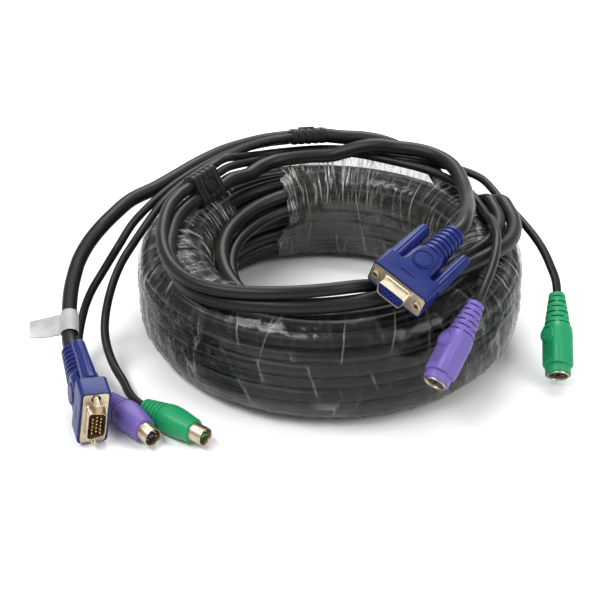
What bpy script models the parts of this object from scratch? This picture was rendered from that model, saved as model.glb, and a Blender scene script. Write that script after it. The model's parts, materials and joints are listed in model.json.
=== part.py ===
"""Keyboard, video and mouse extension cable, wound into a coil inside clear stretch film.

The coil stands on the XY plane with its centre at the origin, and +Z is up. The plug end's three leads
leave a moulded junction at the back and lie at the left, and the socket end's three leads at the right.
Sizes are in metres.
"""
import math

import bmesh
import bpy
from mathutils import Matrix, Vector

MM = 0.001

# Gap kept between pieces that touch, and running gap round the pieces that turn
GAP = 0.3 * MM
TURN_GAP = 0.35 * MM

# Coil and film
COIL_OUTER_RADIUS = 102 * MM
COIL_INNER_RADIUS = 62 * MM
COIL_HEIGHT = 60 * MM
COIL_CORNER_RADIUS = 19 * MM
COIL_CORNER_STEPS = 3
FILM_THICKNESS = 0.8 * MM
FILM_OPEN_FROM = 104
FILM_OPEN_TO = 140
SWEEP_STEP = 12
STRAND_GROOVE_DEPTH = 1.1 * MM

# Jackets
VIDEO_DIAMETER = 8.0 * MM
DATA_DIAMETER = 6.5 * MM
THIN_DIAMETER = 4.5 * MM
POINT_SPACING = 2.5

# Junctions
JUNCTION_LENGTH = 20 * MM
JUNCTION_WIDTH = 19 * MM
JUNCTION_THICKNESS = 9 * MM
JUNCTION_EDGE_RADIUS = 3.5 * MM
JUNCTION_RIBS = 4
JUNCTION_RIB_HEIGHT = 0.6 * MM
JUNCTION_BOSS_RADIUS = 4.4 * MM
JUNCTION_BOSS_HEIGHT = 0.8 * MM

# Label
LABEL_BAND_LENGTH = 13 * MM
LABEL_THICKNESS = 0.5 * MM
LABEL_FLAG_LENGTH = 17 * MM
LABEL_SIDES = 12
LABEL_FLAG_SIDE = (-0.95, -0.10, -0.28)

# Video connectors: the D shell and its flange are the usual 15-way size
FLANGE_LENGTH = 30.8 * MM
FLANGE_WIDTH = 12.5 * MM
FLANGE_THICKNESS = 0.8 * MM
FLANGE_CORNER_RADIUS = 1.2 * MM
SCREW_SPACING = 25.0 * MM
SHELL_WALL = 0.5 * MM
SHELL_DEPTH = 5.8 * MM
SHELL_CORNER_RADIUS = 2.4 * MM
SHELL_SLANT = 10
PLUG_SHELL_LENGTH = 17.9 * MM
PLUG_SHELL_WIDTH = 9.4 * MM
SOCKET_SHELL_LENGTH = 16.4 * MM
SOCKET_SHELL_WIDTH = 7.9 * MM
INSERT_REAR = 5.0 * MM
PLUG_INSERT_FRONT = 0.6 * MM
SOCKET_INSERT_FRONT = 5.3 * MM
CONTACT_PITCH = 2.29 * MM
CONTACT_ROW_PITCH = 1.98 * MM
PIN_RADIUS = 0.45 * MM
PIN_LENGTH = 4.6 * MM
HOLE_RADIUS = 0.5 * MM
HOLE_DEPTH = 3.0 * MM
HOOD_LENGTH = 31.8 * MM
HOOD_WIDTH = 14.6 * MM
HOOD_CORNER_RADIUS = 2.2 * MM
HOOD_BLOCK_DEPTH = 11.0 * MM
HOOD_WAIST_LENGTH = 16.4 * MM
HOOD_REAR_LENGTH = 15.4 * MM
HOOD_REAR_WIDTH = 14.2 * MM
HOOD_BODY_END = 28.0 * MM
HOOD_TOTAL = 50.5 * MM
RELIEF_START_RADIUS = 7.2 * MM
RELIEF_END_RADIUS = 5.8 * MM
RELIEF_RIBS = 5
RELIEF_RIB_DEPTH = 0.7 * MM
HOOD_BOSS_RADIUS = 5.5 * MM
HOOD_BOSS_HEIGHT = 0.8 * MM
HOOD_BOSS_SETBACK = 19.0 * MM
KNOB_RADIUS = 3.5 * MM
KNOB_GRIP_RADIUS = 3.8 * MM
KNOB_GRIP_LENGTH = 13.0 * MM
KNOB_END = 42.0 * MM
KNOB_BORE_DEPTH = 6.0 * MM
SCREW_RADIUS = 1.4 * MM
SCREW_TIP = 4.6 * MM
NUT_RADIUS = 2.1 * MM
NUT_BORE_RADIUS = 1.2 * MM
NUT_BORE_DEPTH = 5.0 * MM
NUT_TIP = 1.2 * MM
CORD_SEAT_DEPTH = 3.0 * MM
CORD_SEAT_GAP = 0.4 * MM

# Round connectors
ROUND_SHELL_RADIUS = 4.6 * MM
ROUND_SHELL_WALL = 0.4 * MM
ROUND_SHELL_REACH = 7.6 * MM
ROUND_SHELL_SEAT = 3.0 * MM
ROUND_PLUG_TOTAL = 40.4 * MM
ROUND_PIN_RADIUS = 0.45 * MM
ROUND_PIN_CIRCLE = 2.7 * MM
ROUND_PIN_TIP = 1.4 * MM
ROUND_INSERT_FRONT = 5.6 * MM
ROUND_KEY_SIZE = 1.7 * MM
RING_RADIUS = 5.5 * MM
RING_WALL = 0.5 * MM
RING_STANDS_OUT = 0.6 * MM
RING_SEAT = 9.0 * MM
ROUND_SOCKET_TOTAL = 46.6 * MM
SOCKET_CORE_RADIUS = 3.9 * MM
SOCKET_CORE_SETBACK = 0.9 * MM
SOCKET_HOLE_RADIUS = 0.55 * MM
SOCKET_HOLE_DEPTH = 4.0 * MM
ROUND_BODY_WIDTH = 13.6 * MM
ROUND_BODY_HEIGHT = 13.4 * MM
ROUND_COLLAR_RADIUS = 6.7 * MM
ROUND_COLLAR_LENGTH = 5.0 * MM
ROUND_GRIP_SHARE = 0.60
ROUND_NECK_RADIUS = 6.4 * MM
ROUND_TAIL_RADIUS = 4.2 * MM
ROUND_RIB_DEPTH = 0.7 * MM
ROUND_BOSS_RADIUS = 4.2 * MM
ROUND_BOSS_HEIGHT = 0.9 * MM
ROUND_BOSS_SETBACK = 21.5 * MM

# Where the connectors lie: centre of the front face, the way it faces, and its long or upper side
VIDEO_PLUG_AT = (-112.5, -114.0, 16.7)
VIDEO_PLUG_FACES = (0.326, -0.933, -0.155)
VIDEO_PLUG_LONG = (0.152, -0.110, 0.982)
VIDEO_SOCKET_AT = (31.9, -86.4, 74.3)
VIDEO_SOCKET_FACES = (-0.588, -0.794, -0.153)
VIDEO_SOCKET_LONG = (0.771, -0.493, -0.403)
KEYBOARD_PLUG_AT = (-84.4, -116.1, 7.2)
KEYBOARD_PLUG_FACES = (0.62, -0.785, 0.0)
MOUSE_PLUG_AT = (-59.0, -115.0, 7.2)
MOUSE_PLUG_FACES = (0.788, -0.615, 0.0)
KEYBOARD_SOCKET_AT = (50.5, -110.2, 36.5)
KEYBOARD_SOCKET_FACES = (-0.449, -0.731, -0.513)
KEYBOARD_SOCKET_ROLL = 28
MOUSE_SOCKET_AT = (116.8, -61.5, 8.5)
MOUSE_SOCKET_FACES = (-0.038, -0.845, -0.533)
MOUSE_SOCKET_ROLL = 52
UPWARDS = (0.0, 0.0, 1.0)

# Where the junctions lie: centre, the way from the leads to the trunk, and the broad face's outward side
PLUG_JUNCTION_AT = (-14.0, 88.4, 69.8)
PLUG_JUNCTION_RUNS = (0.988, 0.155, 0.0)
PLUG_JUNCTION_FACES = (-0.066, 0.418, 0.906)
SOCKET_JUNCTION_AT = (-67.2, 27.2, 69.0)
SOCKET_JUNCTION_RUNS = (-0.55, -0.835, 0.0)
SOCKET_JUNCTION_FACES = (0.723, -0.476, 0.5)

# Colours
CHARCOAL = (0.028, 0.029, 0.027)
BLUE = (0.013, 0.042, 0.285)
PURPLE = (0.262, 0.171, 0.610)
GREEN = (0.017, 0.402, 0.144)
NICKEL = (0.66, 0.60, 0.50)
BLACK = (0.012, 0.012, 0.013)
DARK_PURPLE = (0.060, 0.050, 0.110)
WHITE = (0.80, 0.80, 0.79)
FILM_GREY = (0.30, 0.27, 0.23)


def on_coil(degrees, radius, height):
    """A route point given by its angle round the coil, its distance from the axis and its height, in mm."""
    angle = math.radians(degrees)
    return (radius * math.cos(angle), radius * math.sin(angle), height)


# Routes of the leads and loose strands, chosen by hand, in millimetres
PLUG_VIDEO_ROUTE = [
    on_coil(105.5, 94.1, 67.6), on_coil(112, 96.8, 66.4), on_coil(119, 99.2, 64.8), on_coil(127, 101.4, 63),
    on_coil(136, 102.4, 61), on_coil(146, 103, 59.6), on_coil(155, 106, 58.6), (-108.6, 32.2, 57.5),
    (-116.6, 19, 55.5), (-123, 7.2, 53), (-128, -2.6, 49.5), (-131.5, -12.6, 45.5), (-133, -22, 42),
    (-133.8, -30.6, 38), (-133.6, -39.4, 34), (-132.6, -49, 30), (-130.8, -61.8, 25.4), (-128.1, -69.4, 24.1),
]
PLUG_KEYBOARD_ROUTE = [
    on_coil(106, 87.9, 70.6), on_coil(112, 89.8, 69.6), on_coil(119, 92.4, 67.6), on_coil(127, 94.4, 65.2),
    on_coil(136, 95.3, 63), on_coil(146, 96, 61.5), on_coil(156, 97.5, 60.2), on_coil(166, 101, 58),
    (-105.6, 12, 54), (-111.7, -2, 48.5), (-116.5, -5.5, 41.5), (-121, -9.5, 35), (-125.4, -15, 29),
    (-128.5, -21.5, 23), (-130.2, -29, 17), (-130.8, -38, 11.3), (-129.5, -47.5, 6.8), (-126, -56.5, 4.2),
    (-121, -66, 3.7), (-116.6, -74.4, 5.4), (-112.3, -80.8, 7.2), (-107.8, -86.5, 7.2),
]
PLUG_MOUSE_ROUTE = [
    on_coil(106.4, 83.4, 72.7), on_coil(112, 84.7, 71.8), on_coil(119, 87.4, 69.8), on_coil(127, 89.3, 67.3),
    on_coil(136, 90.3, 65), on_coil(146, 90.6, 63.3), on_coil(156, 91.6, 62), on_coil(166, 93.5, 60.7),
    (-96.5, 9, 57.5), (-102.7, -5.5, 53), (-108.2, -13, 46.5), (-111.6, -20, 41), (-114, -26, 35),
    (-115.6, -31, 29), (-116.4, -36.5, 23), (-115.8, -43, 17.5), (-113.4, -50, 12.5), (-109.4, -58, 8.5),
    (-104.4, -67, 6.6), (-99.9, -78.3, 6.7), (-94.4, -87.3, 7.2), (-88.7, -91.8, 7.2),
]
SOCKET_VIDEO_ROUTE = [
    (-59.6, 34.8, 64.9), (-54, 43.3, 65), on_coil(130.6, 70, 62.9), on_coil(122, 73.3, 63.4),
    on_coil(113, 75.6, 63.7), on_coil(100, 76, 63.9), on_coil(90, 76, 64.1), on_coil(84, 76.4, 66.4),
    on_coil(78, 77.8, 69), on_coil(71, 80.2, 70.6), on_coil(64, 83.5, 69.7), on_coil(57, 86.8, 69.5),
    on_coil(50, 88.5, 69.2), on_coil(42, 87, 69.2), on_coil(34, 83, 69.5), on_coil(26, 78.7, 69.9),
    on_coil(17, 75, 70.8), on_coil(7, 72.2, 73), on_coil(-4, 71.4, 76.4), on_coil(-15, 72.3, 79.8),
    on_coil(-24, 74.4, 82.3), (64.8, -41.9, 82.9), (60.1, -48.3, 81.6),
]
SOCKET_KEYBOARD_ROUTE = [
    (-62.2, 36.8, 71), (-57.4, 45.3, 70.7), on_coil(134.5, 75.1, 68.6), on_coil(125, 79, 64.9),
    on_coil(117, 81.8, 63.1), on_coil(105, 82.7, 62.7), on_coil(92, 82.8, 62.7), on_coil(84, 82.7, 62.7),
    on_coil(77, 81.5, 62.7), on_coil(70, 80.2, 62.7), on_coil(60, 80, 62.7), on_coil(50, 81.3, 62.7),
    on_coil(38, 82.6, 62.7), on_coil(26, 83, 62.7), on_coil(13, 82.6, 62.8), on_coil(4, 82.8, 64.4),
    on_coil(-4, 84, 68.3), on_coil(-11, 86, 70), on_coil(-18, 89, 70.8), on_coil(-26, 92.5, 69.8),
    on_coil(-33, 96, 67.6), on_coil(-39, 99.5, 65.6), (73.4, -72.9, 62.7), (70.2, -78.1, 59),
]
SOCKET_MOUSE_ROUTE = [
    (-64.5, 38.2, 75.3), (-59.7, 46.7, 74.9), on_coil(135, 79.3, 71.9), on_coil(126, 83.3, 67),
    on_coil(118, 86.8, 63.6), on_coil(108, 87.9, 62.2), on_coil(92, 87.9, 62.2), on_coil(78, 87.2, 62.3),
    on_coil(70, 85.1, 62.4), on_coil(63, 84.7, 62.4), on_coil(57, 87.4, 62.3), on_coil(50, 93.6, 61.2),
    (82.4, 61.5, 58.6), (93, 42, 55.5), (103, 22.5, 52.4), (109.5, 8.5, 49.5), (113.4, -1.6, 46.5),
    (116, -9.4, 42.8), (118, -14.4, 39), (118.7, -18.5, 35.7), (118.5, -24.4, 31.9),
]
PLUG_TAIL_VIDEO_ROUTE = [
    on_coil(91.3, 86, 71.4), on_coil(86, 87.3, 70), on_coil(79, 88.6, 69.6), on_coil(72, 89.6, 68.6),
    on_coil(66, 91.9, 65.5), on_coil(61, 93, 62.8),
]
PLUG_TAIL_DATA_ROUTE = [
    on_coil(92.5, 93, 68.2), on_coil(86, 95, 66.8), on_coil(79, 96, 65.4), on_coil(72, 97, 63.2),
    on_coil(66, 98.4, 60.2), on_coil(62.5, 99.1, 58.1),
]
SOCKET_TAIL_VIDEO_ROUTE = [
    (-71.7, 17.3, 65.9), (-76.6, 9.4, 65.2), on_coil(180, 80.6, 64.5), on_coil(-168, 84.2, 64),
    on_coil(-156, 89.5, 63.6), on_coil(-145, 93, 62.5), on_coil(-137, 95, 61.5), on_coil(-129, 95, 61.5),
    on_coil(-120, 93, 62.4), on_coil(-110, 90, 63.5), on_coil(-99, 87.2, 64.1), on_coil(-88, 84.8, 64.4),
    on_coil(-79, 83, 64.4), on_coil(-72, 81.7, 64.4), on_coil(-64, 81, 64.4), on_coil(-54, 80.3, 64.4),
    on_coil(-44, 80.3, 64.4), on_coil(-33, 83.3, 64.4), on_coil(-22, 88.2, 63.7), on_coil(-12, 93.2, 62.1),
    on_coil(-3, 96, 60.9), on_coil(6, 97.3, 60.1), on_coil(13, 97.3, 60), on_coil(18, 96.9, 60.2),
]
SOCKET_TAIL_DATA_ROUTE = [
    (-74.9, 19.6, 72.4), (-79.8, 11.6, 72.1), on_coil(180, 84, 71.7), on_coil(-168, 87.6, 71.2),
    on_coil(-158, 91.5, 70.6), on_coil(-148, 95.5, 69.8), on_coil(-140, 97.7, 69.1), on_coil(-132, 98, 68.8),
    on_coil(-124, 96.3, 69.4), on_coil(-115, 92.6, 70.4), on_coil(-106, 88.8, 71.3), on_coil(-97, 85.2, 71.7),
    on_coil(-88, 81.8, 71.6), on_coil(-80, 78, 70.2), on_coil(-73, 74.6, 67.5), on_coil(-65, 73, 64.9),
    on_coil(-54, 72.3, 63.5), on_coil(-44, 72.3, 63.4), on_coil(-33, 75.2, 63.5), on_coil(-22, 79.5, 63.7),
    on_coil(-12, 84.5, 63.4), on_coil(-3, 87.8, 62.7), on_coil(6, 89.4, 62.4), on_coil(13, 89.3, 62.4),
    on_coil(18, 88.9, 62.7),
]
INNER_TURN_VIDEO_ROUTE = [
    on_coil(117, 57.6, 50.5), on_coil(124, 57.5, 50), on_coil(135, 57.4, 49.2), on_coil(150, 57.3, 48),
    on_coil(165, 57.3, 47), on_coil(180, 57.3, 45.5), on_coil(195, 57.3, 43.5), on_coil(210, 57.3, 41.5),
    on_coil(225, 57.3, 39.5), on_coil(240, 57.3, 38), on_coil(252, 57.3, 37), on_coil(262, 57.4, 36.5),
]
INNER_TURN_DATA_ROUTE = [
    on_coil(117, 53.3, 43.8), on_coil(124, 53, 43.3), on_coil(135, 52.8, 42.5), on_coil(150, 52.6, 41.3),
    on_coil(165, 52.6, 40.3), on_coil(180, 52.6, 38.8), on_coil(195, 52.6, 36.8), on_coil(210, 52.6, 34.8),
    on_coil(225, 52.6, 32.8), on_coil(240, 52.6, 31.3), on_coil(252, 52.8, 30.3), on_coil(262, 53, 29.8),
]
LABEL_STRETCH = 10
LABEL_OFFSET = 7.4 * MM


def clear_scene():
    """Remove the objects that are already there."""
    for item in list(bpy.data.objects):
        bpy.data.objects.remove(item, do_unlink=True)


def make_material(name, colour, roughness, metallic=0.0, alpha=1.0):
    """A Principled material of one colour."""
    made = bpy.data.materials.new(name)
    made.use_nodes = True
    shader = made.node_tree.nodes["Principled BSDF"]
    shader.inputs["Base Color"].default_value = (*colour, 1.0)
    shader.inputs["Roughness"].default_value = roughness
    shader.inputs["Metallic"].default_value = metallic
    shader.inputs["Alpha"].default_value = alpha
    made.diffuse_color = (*colour, alpha)
    return made


def add_object(name, bm, material, frame=None, sharp_angle=35):
    """Finish a bmesh as an object with its material, shaded smooth up to an angle."""
    bmesh.ops.recalc_face_normals(bm, faces=bm.faces)
    mesh = bpy.data.meshes.new(name)
    bm.to_mesh(mesh)
    bm.free()
    mesh.shade_smooth()
    mesh.set_sharp_from_angle(angle=math.radians(sharp_angle))
    mesh.materials.append(material)
    item = bpy.data.objects.new(name, mesh)
    bpy.context.collection.objects.link(item)
    if frame is not None:
        item.matrix_world = frame
    return item


def facing_frame(at, faces, side):
    """Frame whose origin is at a point in mm, whose Z points the way it faces and whose X is its side."""
    z_axis = Vector(faces).normalized()
    x_axis = Vector(side)
    x_axis = (x_axis - z_axis * x_axis.dot(z_axis)).normalized()
    y_axis = z_axis.cross(x_axis)
    rotation = Matrix((x_axis, y_axis, z_axis)).transposed().to_4x4()
    return Matrix.Translation(Vector(at) * MM) @ rotation


def upright_frame(at, faces, roll=0):
    """Frame of a round connector, whose Y is its upper side, rolled to the left by some degrees."""
    z_axis = Vector(faces).normalized()
    upright = facing_frame(at, faces, Vector(UPWARDS).cross(z_axis))
    return upright @ Matrix.Rotation(math.radians(roll), 4, "Z")


def rounded_outline(length, width, radius, corner_steps):
    """Points of a rounded rectangle in X and Y, counter-clockwise."""
    points = []
    for corner, (sign_x, sign_y) in enumerate(((1, 1), (-1, 1), (-1, -1), (1, -1))):
        centre_x = sign_x * (length / 2 - radius)
        centre_y = sign_y * (width / 2 - radius)
        for step in range(corner_steps + 1):
            angle = math.radians(90 * (corner + step / corner_steps))
            points.append((centre_x + radius * math.cos(angle), centre_y + radius * math.sin(angle)))
    return points


def circle_outline(radius, sides, phase=0.0):
    """Points of a circle in X and Y, counter-clockwise."""
    angles = [math.radians(phase) + math.tau * step / sides for step in range(sides)]
    return [(radius * math.cos(angle), radius * math.sin(angle)) for angle in angles]


def d_outline(length, width):
    """Points of the D shape: the side at +Y is the longer one."""
    slant = math.tan(math.radians(SHELL_SLANT)) * width / 2
    corners = [
        Vector((length / 2, width / 2)), Vector((-length / 2, width / 2)),
        Vector((-length / 2 + 2 * slant, -width / 2)), Vector((length / 2 - 2 * slant, -width / 2)),
    ]
    points = []
    for index, corner in enumerate(corners):
        before = (corners[index - 1] - corner).normalized()
        after = (corners[(index + 1) % 4] - corner).normalized()
        for share in (0.0, 0.35, 0.65, 1.0):
            start = corner + before * SHELL_CORNER_RADIUS * (1 - share)
            end = corner + after * SHELL_CORNER_RADIUS * share
            pull = 4 * share * (1 - share) * 0.12
            middle = start + (end - corner)
            points.append(tuple(middle + (corner - middle) * pull))
    return points


def loft(sections, closed_ends=True):
    """A bmesh skinned through rings of points; each section is a list of 3-D points."""
    bm = bmesh.new()
    rings = [[bm.verts.new(point) for point in section] for section in sections]
    count = len(rings[0])
    for lower, upper in zip(rings, rings[1:]):
        for index in range(count):
            following = (index + 1) % count
            bm.faces.new((lower[index], lower[following], upper[following], upper[index]))
    if closed_ends:
        bm.faces.new(list(reversed(rings[0])))
        bm.faces.new(rings[-1])
    return bm


def lifted(outline, height):
    """An outline moved to a height along Z."""
    return [(x, y, height) for x, y in outline]


def lathe(profile, sides, phase=0.0):
    """A closed turned solid: the profile is a closed loop of (radius, height), off the axis or on it."""
    bm = bmesh.new()
    verts = [bm.verts.new((radius, 0, height)) for radius, height in profile]
    edges = [bm.edges.new((verts[i], verts[i + 1])) for i in range(len(verts) - 1)]
    if profile[0][0] > 0 or profile[-1][0] > 0:
        edges.append(bm.edges.new((verts[-1], verts[0])))
    bmesh.ops.spin(
        bm, geom=verts + edges, cent=(0, 0, 0), axis=(0, 0, 1), angle=math.tau, steps=sides, use_merge=True)
    bmesh.ops.remove_doubles(bm, verts=bm.verts, dist=0.00001)
    bmesh.ops.rotate(bm, verts=bm.verts, cent=(0, 0, 0), matrix=Matrix.Rotation(math.radians(phase), 3, "Z"))
    return bm


def boolean(item, cutter_bm, operation, frame=None):
    """Cut a shape from an object, or join one to it, and apply the result."""
    bmesh.ops.recalc_face_normals(cutter_bm, faces=cutter_bm.faces)
    mesh = bpy.data.meshes.new("cutter")
    cutter_bm.to_mesh(mesh)
    cutter_bm.free()
    cutter = bpy.data.objects.new("cutter", mesh)
    cutter.hide_render = True
    cutter.display_type = "WIRE"
    bpy.context.collection.objects.link(cutter)
    cutter.matrix_world = item.matrix_world if frame is None else item.matrix_world @ frame
    modifier = item.modifiers.new(operation.lower(), "BOOLEAN")
    modifier.operation = operation
    modifier.object = cutter
    bpy.context.view_layer.update()
    result = bpy.data.meshes.new_from_object(item.evaluated_get(bpy.context.evaluated_depsgraph_get()))
    item.modifiers.remove(modifier)
    item.data = result
    bpy.data.objects.remove(cutter, do_unlink=True)


def prism(outline, bottom, top):
    """A straight prism between two heights."""
    return loft([lifted(outline, bottom), lifted(outline, top)])


def merge(parts):
    """Several separate bmeshes as one, for a cutter with many bodies."""
    joined = bmesh.new()
    for part in parts:
        mesh = bpy.data.meshes.new("part")
        part.to_mesh(mesh)
        part.free()
        joined.from_mesh(mesh)
        bpy.data.meshes.remove(mesh)
    return joined


def smooth_route(points, spacing):
    """Points in metres along a centripetal Catmull-Rom curve through a route in mm.

    They are evenly spaced between the route's second and last but one points. The first and last stretches
    stay straight, so that a cord leaves its junction and enters its connector square.
    """
    knots = [Vector(point) * MM for point in points]
    dense = []
    for p0, p1, p2, p3 in zip(knots, knots[1:], knots[2:], knots[3:]):
        t1 = (p1 - p0).length ** 0.5
        t2 = t1 + (p2 - p1).length ** 0.5
        t3 = t2 + (p3 - p2).length ** 0.5
        for step in range(12):
            t = t1 + (t2 - t1) * step / 12
            a1 = p0.lerp(p1, t / t1)
            a2 = p1.lerp(p2, (t - t1) / (t2 - t1))
            a3 = p2.lerp(p3, (t - t2) / (t3 - t2))
            b1 = a1.lerp(a2, t / t2)
            b2 = a2.lerp(a3, (t - t1) / (t3 - t1))
            dense.append(b1.lerp(b2, (t - t1) / (t2 - t1)))
    dense.append(knots[-2])
    lengths = [(after - before).length for before, after in zip(dense, dense[1:])]
    total = sum(lengths)
    count = max(2, round(total / spacing))
    even = [dense[0]]
    travelled = 0.0
    for index, length in enumerate(lengths):
        while len(even) < count and travelled + length >= total * len(even) / count:
            share = (total * len(even) / count - travelled) / length
            even.append(dense[index].lerp(dense[index + 1], share))
        travelled += length
    return [knots[0]] + even + [dense[-1], knots[-1]]


def add_cord(name, route, diameter, material):
    """A round cord along a route: a curve object with a bevel and filled caps."""
    points = smooth_route(route, diameter * POINT_SPACING)
    curve = bpy.data.curves.new(name, "CURVE")
    curve.dimensions = "3D"
    curve.bevel_depth = diameter / 2
    curve.bevel_resolution = 2
    curve.use_fill_caps = True
    spline = curve.splines.new("POLY")
    spline.points.add(len(points) - 1)
    for slot, point in zip(spline.points, points):
        slot.co = (*point, 1.0)
    curve.materials.append(material)
    item = bpy.data.objects.new(name, curve)
    bpy.context.collection.objects.link(item)
    return item


def coil_section(inset):
    """Rounded section of the coil in radius and height, set in from its outside."""
    radial = COIL_OUTER_RADIUS - COIL_INNER_RADIUS
    middle = (COIL_OUTER_RADIUS + COIL_INNER_RADIUS) / 2
    outline = rounded_outline(
        radial - 2 * inset, COIL_HEIGHT - 2 * inset, COIL_CORNER_RADIUS - inset, COIL_CORNER_STEPS)
    return [(middle + x, COIL_HEIGHT / 2 + y) for x, y in outline]


def strand_section(inset):
    """The coil's section with a shallow groove between each strand and the next."""
    outline = [Vector(point) for point in coil_section(inset)]
    lengths = [(after - before).length for before, after in zip(outline, outline[1:] + outline[:1])]
    total = sum(lengths)
    strands = round(total / ((VIDEO_DIAMETER + DATA_DIAMETER) / 2))
    middle = Vector(((COIL_OUTER_RADIUS + COIL_INNER_RADIUS) / 2, COIL_HEIGHT / 2))
    points = []
    for half in range(2 * strands):
        reach = total * half / (2 * strands)
        index = 0
        while reach > lengths[index]:
            reach -= lengths[index]
            index += 1
        point = outline[index].lerp(outline[(index + 1) % len(outline)], reach / lengths[index])
        if half % 2:
            point = point + (middle - point).normalized() * STRAND_GROOVE_DEPTH
        points.append(tuple(point))
    return points


def swept_section(outline, start, degrees):
    """The section carried round the coil's axis by steps, as rings of 3-D points."""
    steps = round(degrees / SWEEP_STEP)
    rings = []
    for step in range(steps + 1):
        angle = math.radians(start + step * SWEEP_STEP)
        rings.append([(r * math.cos(angle), r * math.sin(angle), z) for r, z in outline])
    return rings


def add_wound_trunk(material):
    """The wound strands as one ring with a groove between its strands."""
    rings = swept_section(strand_section(FILM_THICKNESS + GAP), FILM_OPEN_TO, 360)
    bm = loft(rings, closed_ends=False)
    bmesh.ops.remove_doubles(bm, verts=bm.verts, dist=0.00001)
    add_object("wound_trunk", bm, material, sharp_angle=50)


def add_stretch_film(material):
    """The film's sleeve round the coil, open over the short stretch where the strands come out."""
    sweep = 360 - (FILM_OPEN_TO - FILM_OPEN_FROM)
    outer = swept_section(coil_section(0), FILM_OPEN_TO, sweep)
    inner = swept_section(coil_section(FILM_THICKNESS), FILM_OPEN_TO, sweep)
    bm = bmesh.new()
    skins = [[[bm.verts.new(point) for point in ring] for ring in rings] for rings in (outer, inner)]
    count = len(outer[0])
    for rings in skins:
        for lower, upper in zip(rings, rings[1:]):
            for index in range(count):
                following = (index + 1) % count
                bm.faces.new((lower[index], lower[following], upper[following], upper[index]))
    for end in (0, -1):
        for index in range(count):
            following = (index + 1) % count
            bm.faces.new((
                skins[0][end][index], skins[0][end][following],
                skins[1][end][following], skins[1][end][index]))
    add_object("stretch_film", bm, material, sharp_angle=50)


def add_junction(name, at, runs, faces, material):
    """A flat ribbed moulding where the trunk splits: the trunk leaves at +X and the leads at -X."""
    frame = facing_frame(at, faces, runs)
    stops = 2 * JUNCTION_RIBS + 1
    sections = []
    for stop in range(stops + 1):
        along = JUNCTION_LENGTH * (stop / stops - 0.5)
        drop = 0.0 if stop % 2 else JUNCTION_RIB_HEIGHT
        outline = rounded_outline(
            JUNCTION_WIDTH - 2 * drop, JUNCTION_THICKNESS - 2 * drop, JUNCTION_EDGE_RADIUS - drop, 2)
        sections.append([(along, y, z) for y, z in outline])
    item = add_object(name, loft(sections), material, frame)
    seat = JUNCTION_THICKNESS / 2 - 2 * JUNCTION_RIB_HEIGHT
    boss = prism(
        circle_outline(JUNCTION_BOSS_RADIUS, 14), seat, JUNCTION_THICKNESS / 2 + JUNCTION_BOSS_HEIGHT)
    boolean(item, boss, "UNION")


def add_label(material):
    """A paper label folded round the plug end's video lead, its two ends stuck together as a flag."""
    points = smooth_route(PLUG_VIDEO_ROUTE, VIDEO_DIAMETER * POINT_SPACING)
    start, end = points[LABEL_STRETCH:LABEL_STRETCH + 2]
    centre = start + (end - start).normalized() * LABEL_OFFSET
    frame = facing_frame(centre / MM, end - start, LABEL_FLAG_SIDE)
    inner = VIDEO_DIAMETER / 2 + GAP
    outer = inner + LABEL_THICKNESS
    half = LABEL_BAND_LENGTH / 2
    band = lathe([(outer, half), (outer, -half), (inner, -half), (inner, half)], LABEL_SIDES)
    item = add_object("lead_label", band, material, frame)
    flag = prism([
        (outer + LABEL_FLAG_LENGTH, LABEL_THICKNESS / 2), (inner + LABEL_THICKNESS / 2, LABEL_THICKNESS / 2),
        (inner + LABEL_THICKNESS / 2, -LABEL_THICKNESS / 2),
        (outer + LABEL_FLAG_LENGTH, -LABEL_THICKNESS / 2)], -half, half)
    boolean(item, flag, "UNION")


def contact_places():
    """Centres of the fifteen contacts, in three rows of five, the middle row shifted by half a pitch."""
    places = []
    for row in (-1, 0, 1):
        shift = CONTACT_PITCH / 2 if row == 0 else 0.0
        for column in range(5):
            places.append(((column - 2) * CONTACT_PITCH - CONTACT_PITCH / 4 + shift, row * CONTACT_ROW_PITCH))
    return places


def add_video_shell(name, length, width, hole_radius, frame, material):
    """The stamped flange with its D-shaped shroud, open right through, and its two screw holes."""
    plate = rounded_outline(FLANGE_LENGTH, FLANGE_WIDTH, FLANGE_CORNER_RADIUS, 1)
    item = add_object(name, prism(plate, -FLANGE_THICKNESS, 0), material, frame)
    boolean(item, prism(d_outline(length, width), -FLANGE_THICKNESS / 2, SHELL_DEPTH), "UNION")
    inside = d_outline(length - 2 * SHELL_WALL, width - 2 * SHELL_WALL)
    boolean(item, prism(inside, -2 * FLANGE_THICKNESS, SHELL_DEPTH + MM), "DIFFERENCE")
    for side in (-1, 1):
        hole = prism(circle_outline(hole_radius, 10), -2 * FLANGE_THICKNESS, MM)
        bmesh.ops.translate(hole, verts=hole.verts, vec=(side * SCREW_SPACING / 2, 0, 0))
        boolean(item, hole, "DIFFERENCE")


def add_video_insert(name, length, width, front, contact_radius, reach, operation, frame, material):
    """The moulded insert inside the shroud, with pins that stand out of it or holes that go into it."""
    outline = d_outline(length - 2 * SHELL_WALL - 2 * GAP, width - 2 * SHELL_WALL - 2 * GAP)
    item = add_object(name, prism(outline, -INSERT_REAR, front), material, frame)
    contacts = []
    for x, y in contact_places():
        contact = prism(circle_outline(contact_radius, 6), *reach)
        bmesh.ops.translate(contact, verts=contact.verts, vec=(x, y, 0))
        contacts.append(contact)
    boolean(item, merge(contacts), operation)


def relief_sections(start, end, start_radius, end_radius, ribs, depth, sides, phase):
    """Rings of a ribbed round strain relief that narrows towards its cord."""
    sections = []
    stops = 2 * ribs + 1
    for stop in range(stops + 1):
        share = stop / stops
        radius = start_radius + (end_radius - start_radius) * share
        if stop % 2 == 0:
            radius -= depth
        height = start + (end - start) * share
        sections.append(lifted(circle_outline(radius, sides, phase), height))
    return sections


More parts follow.
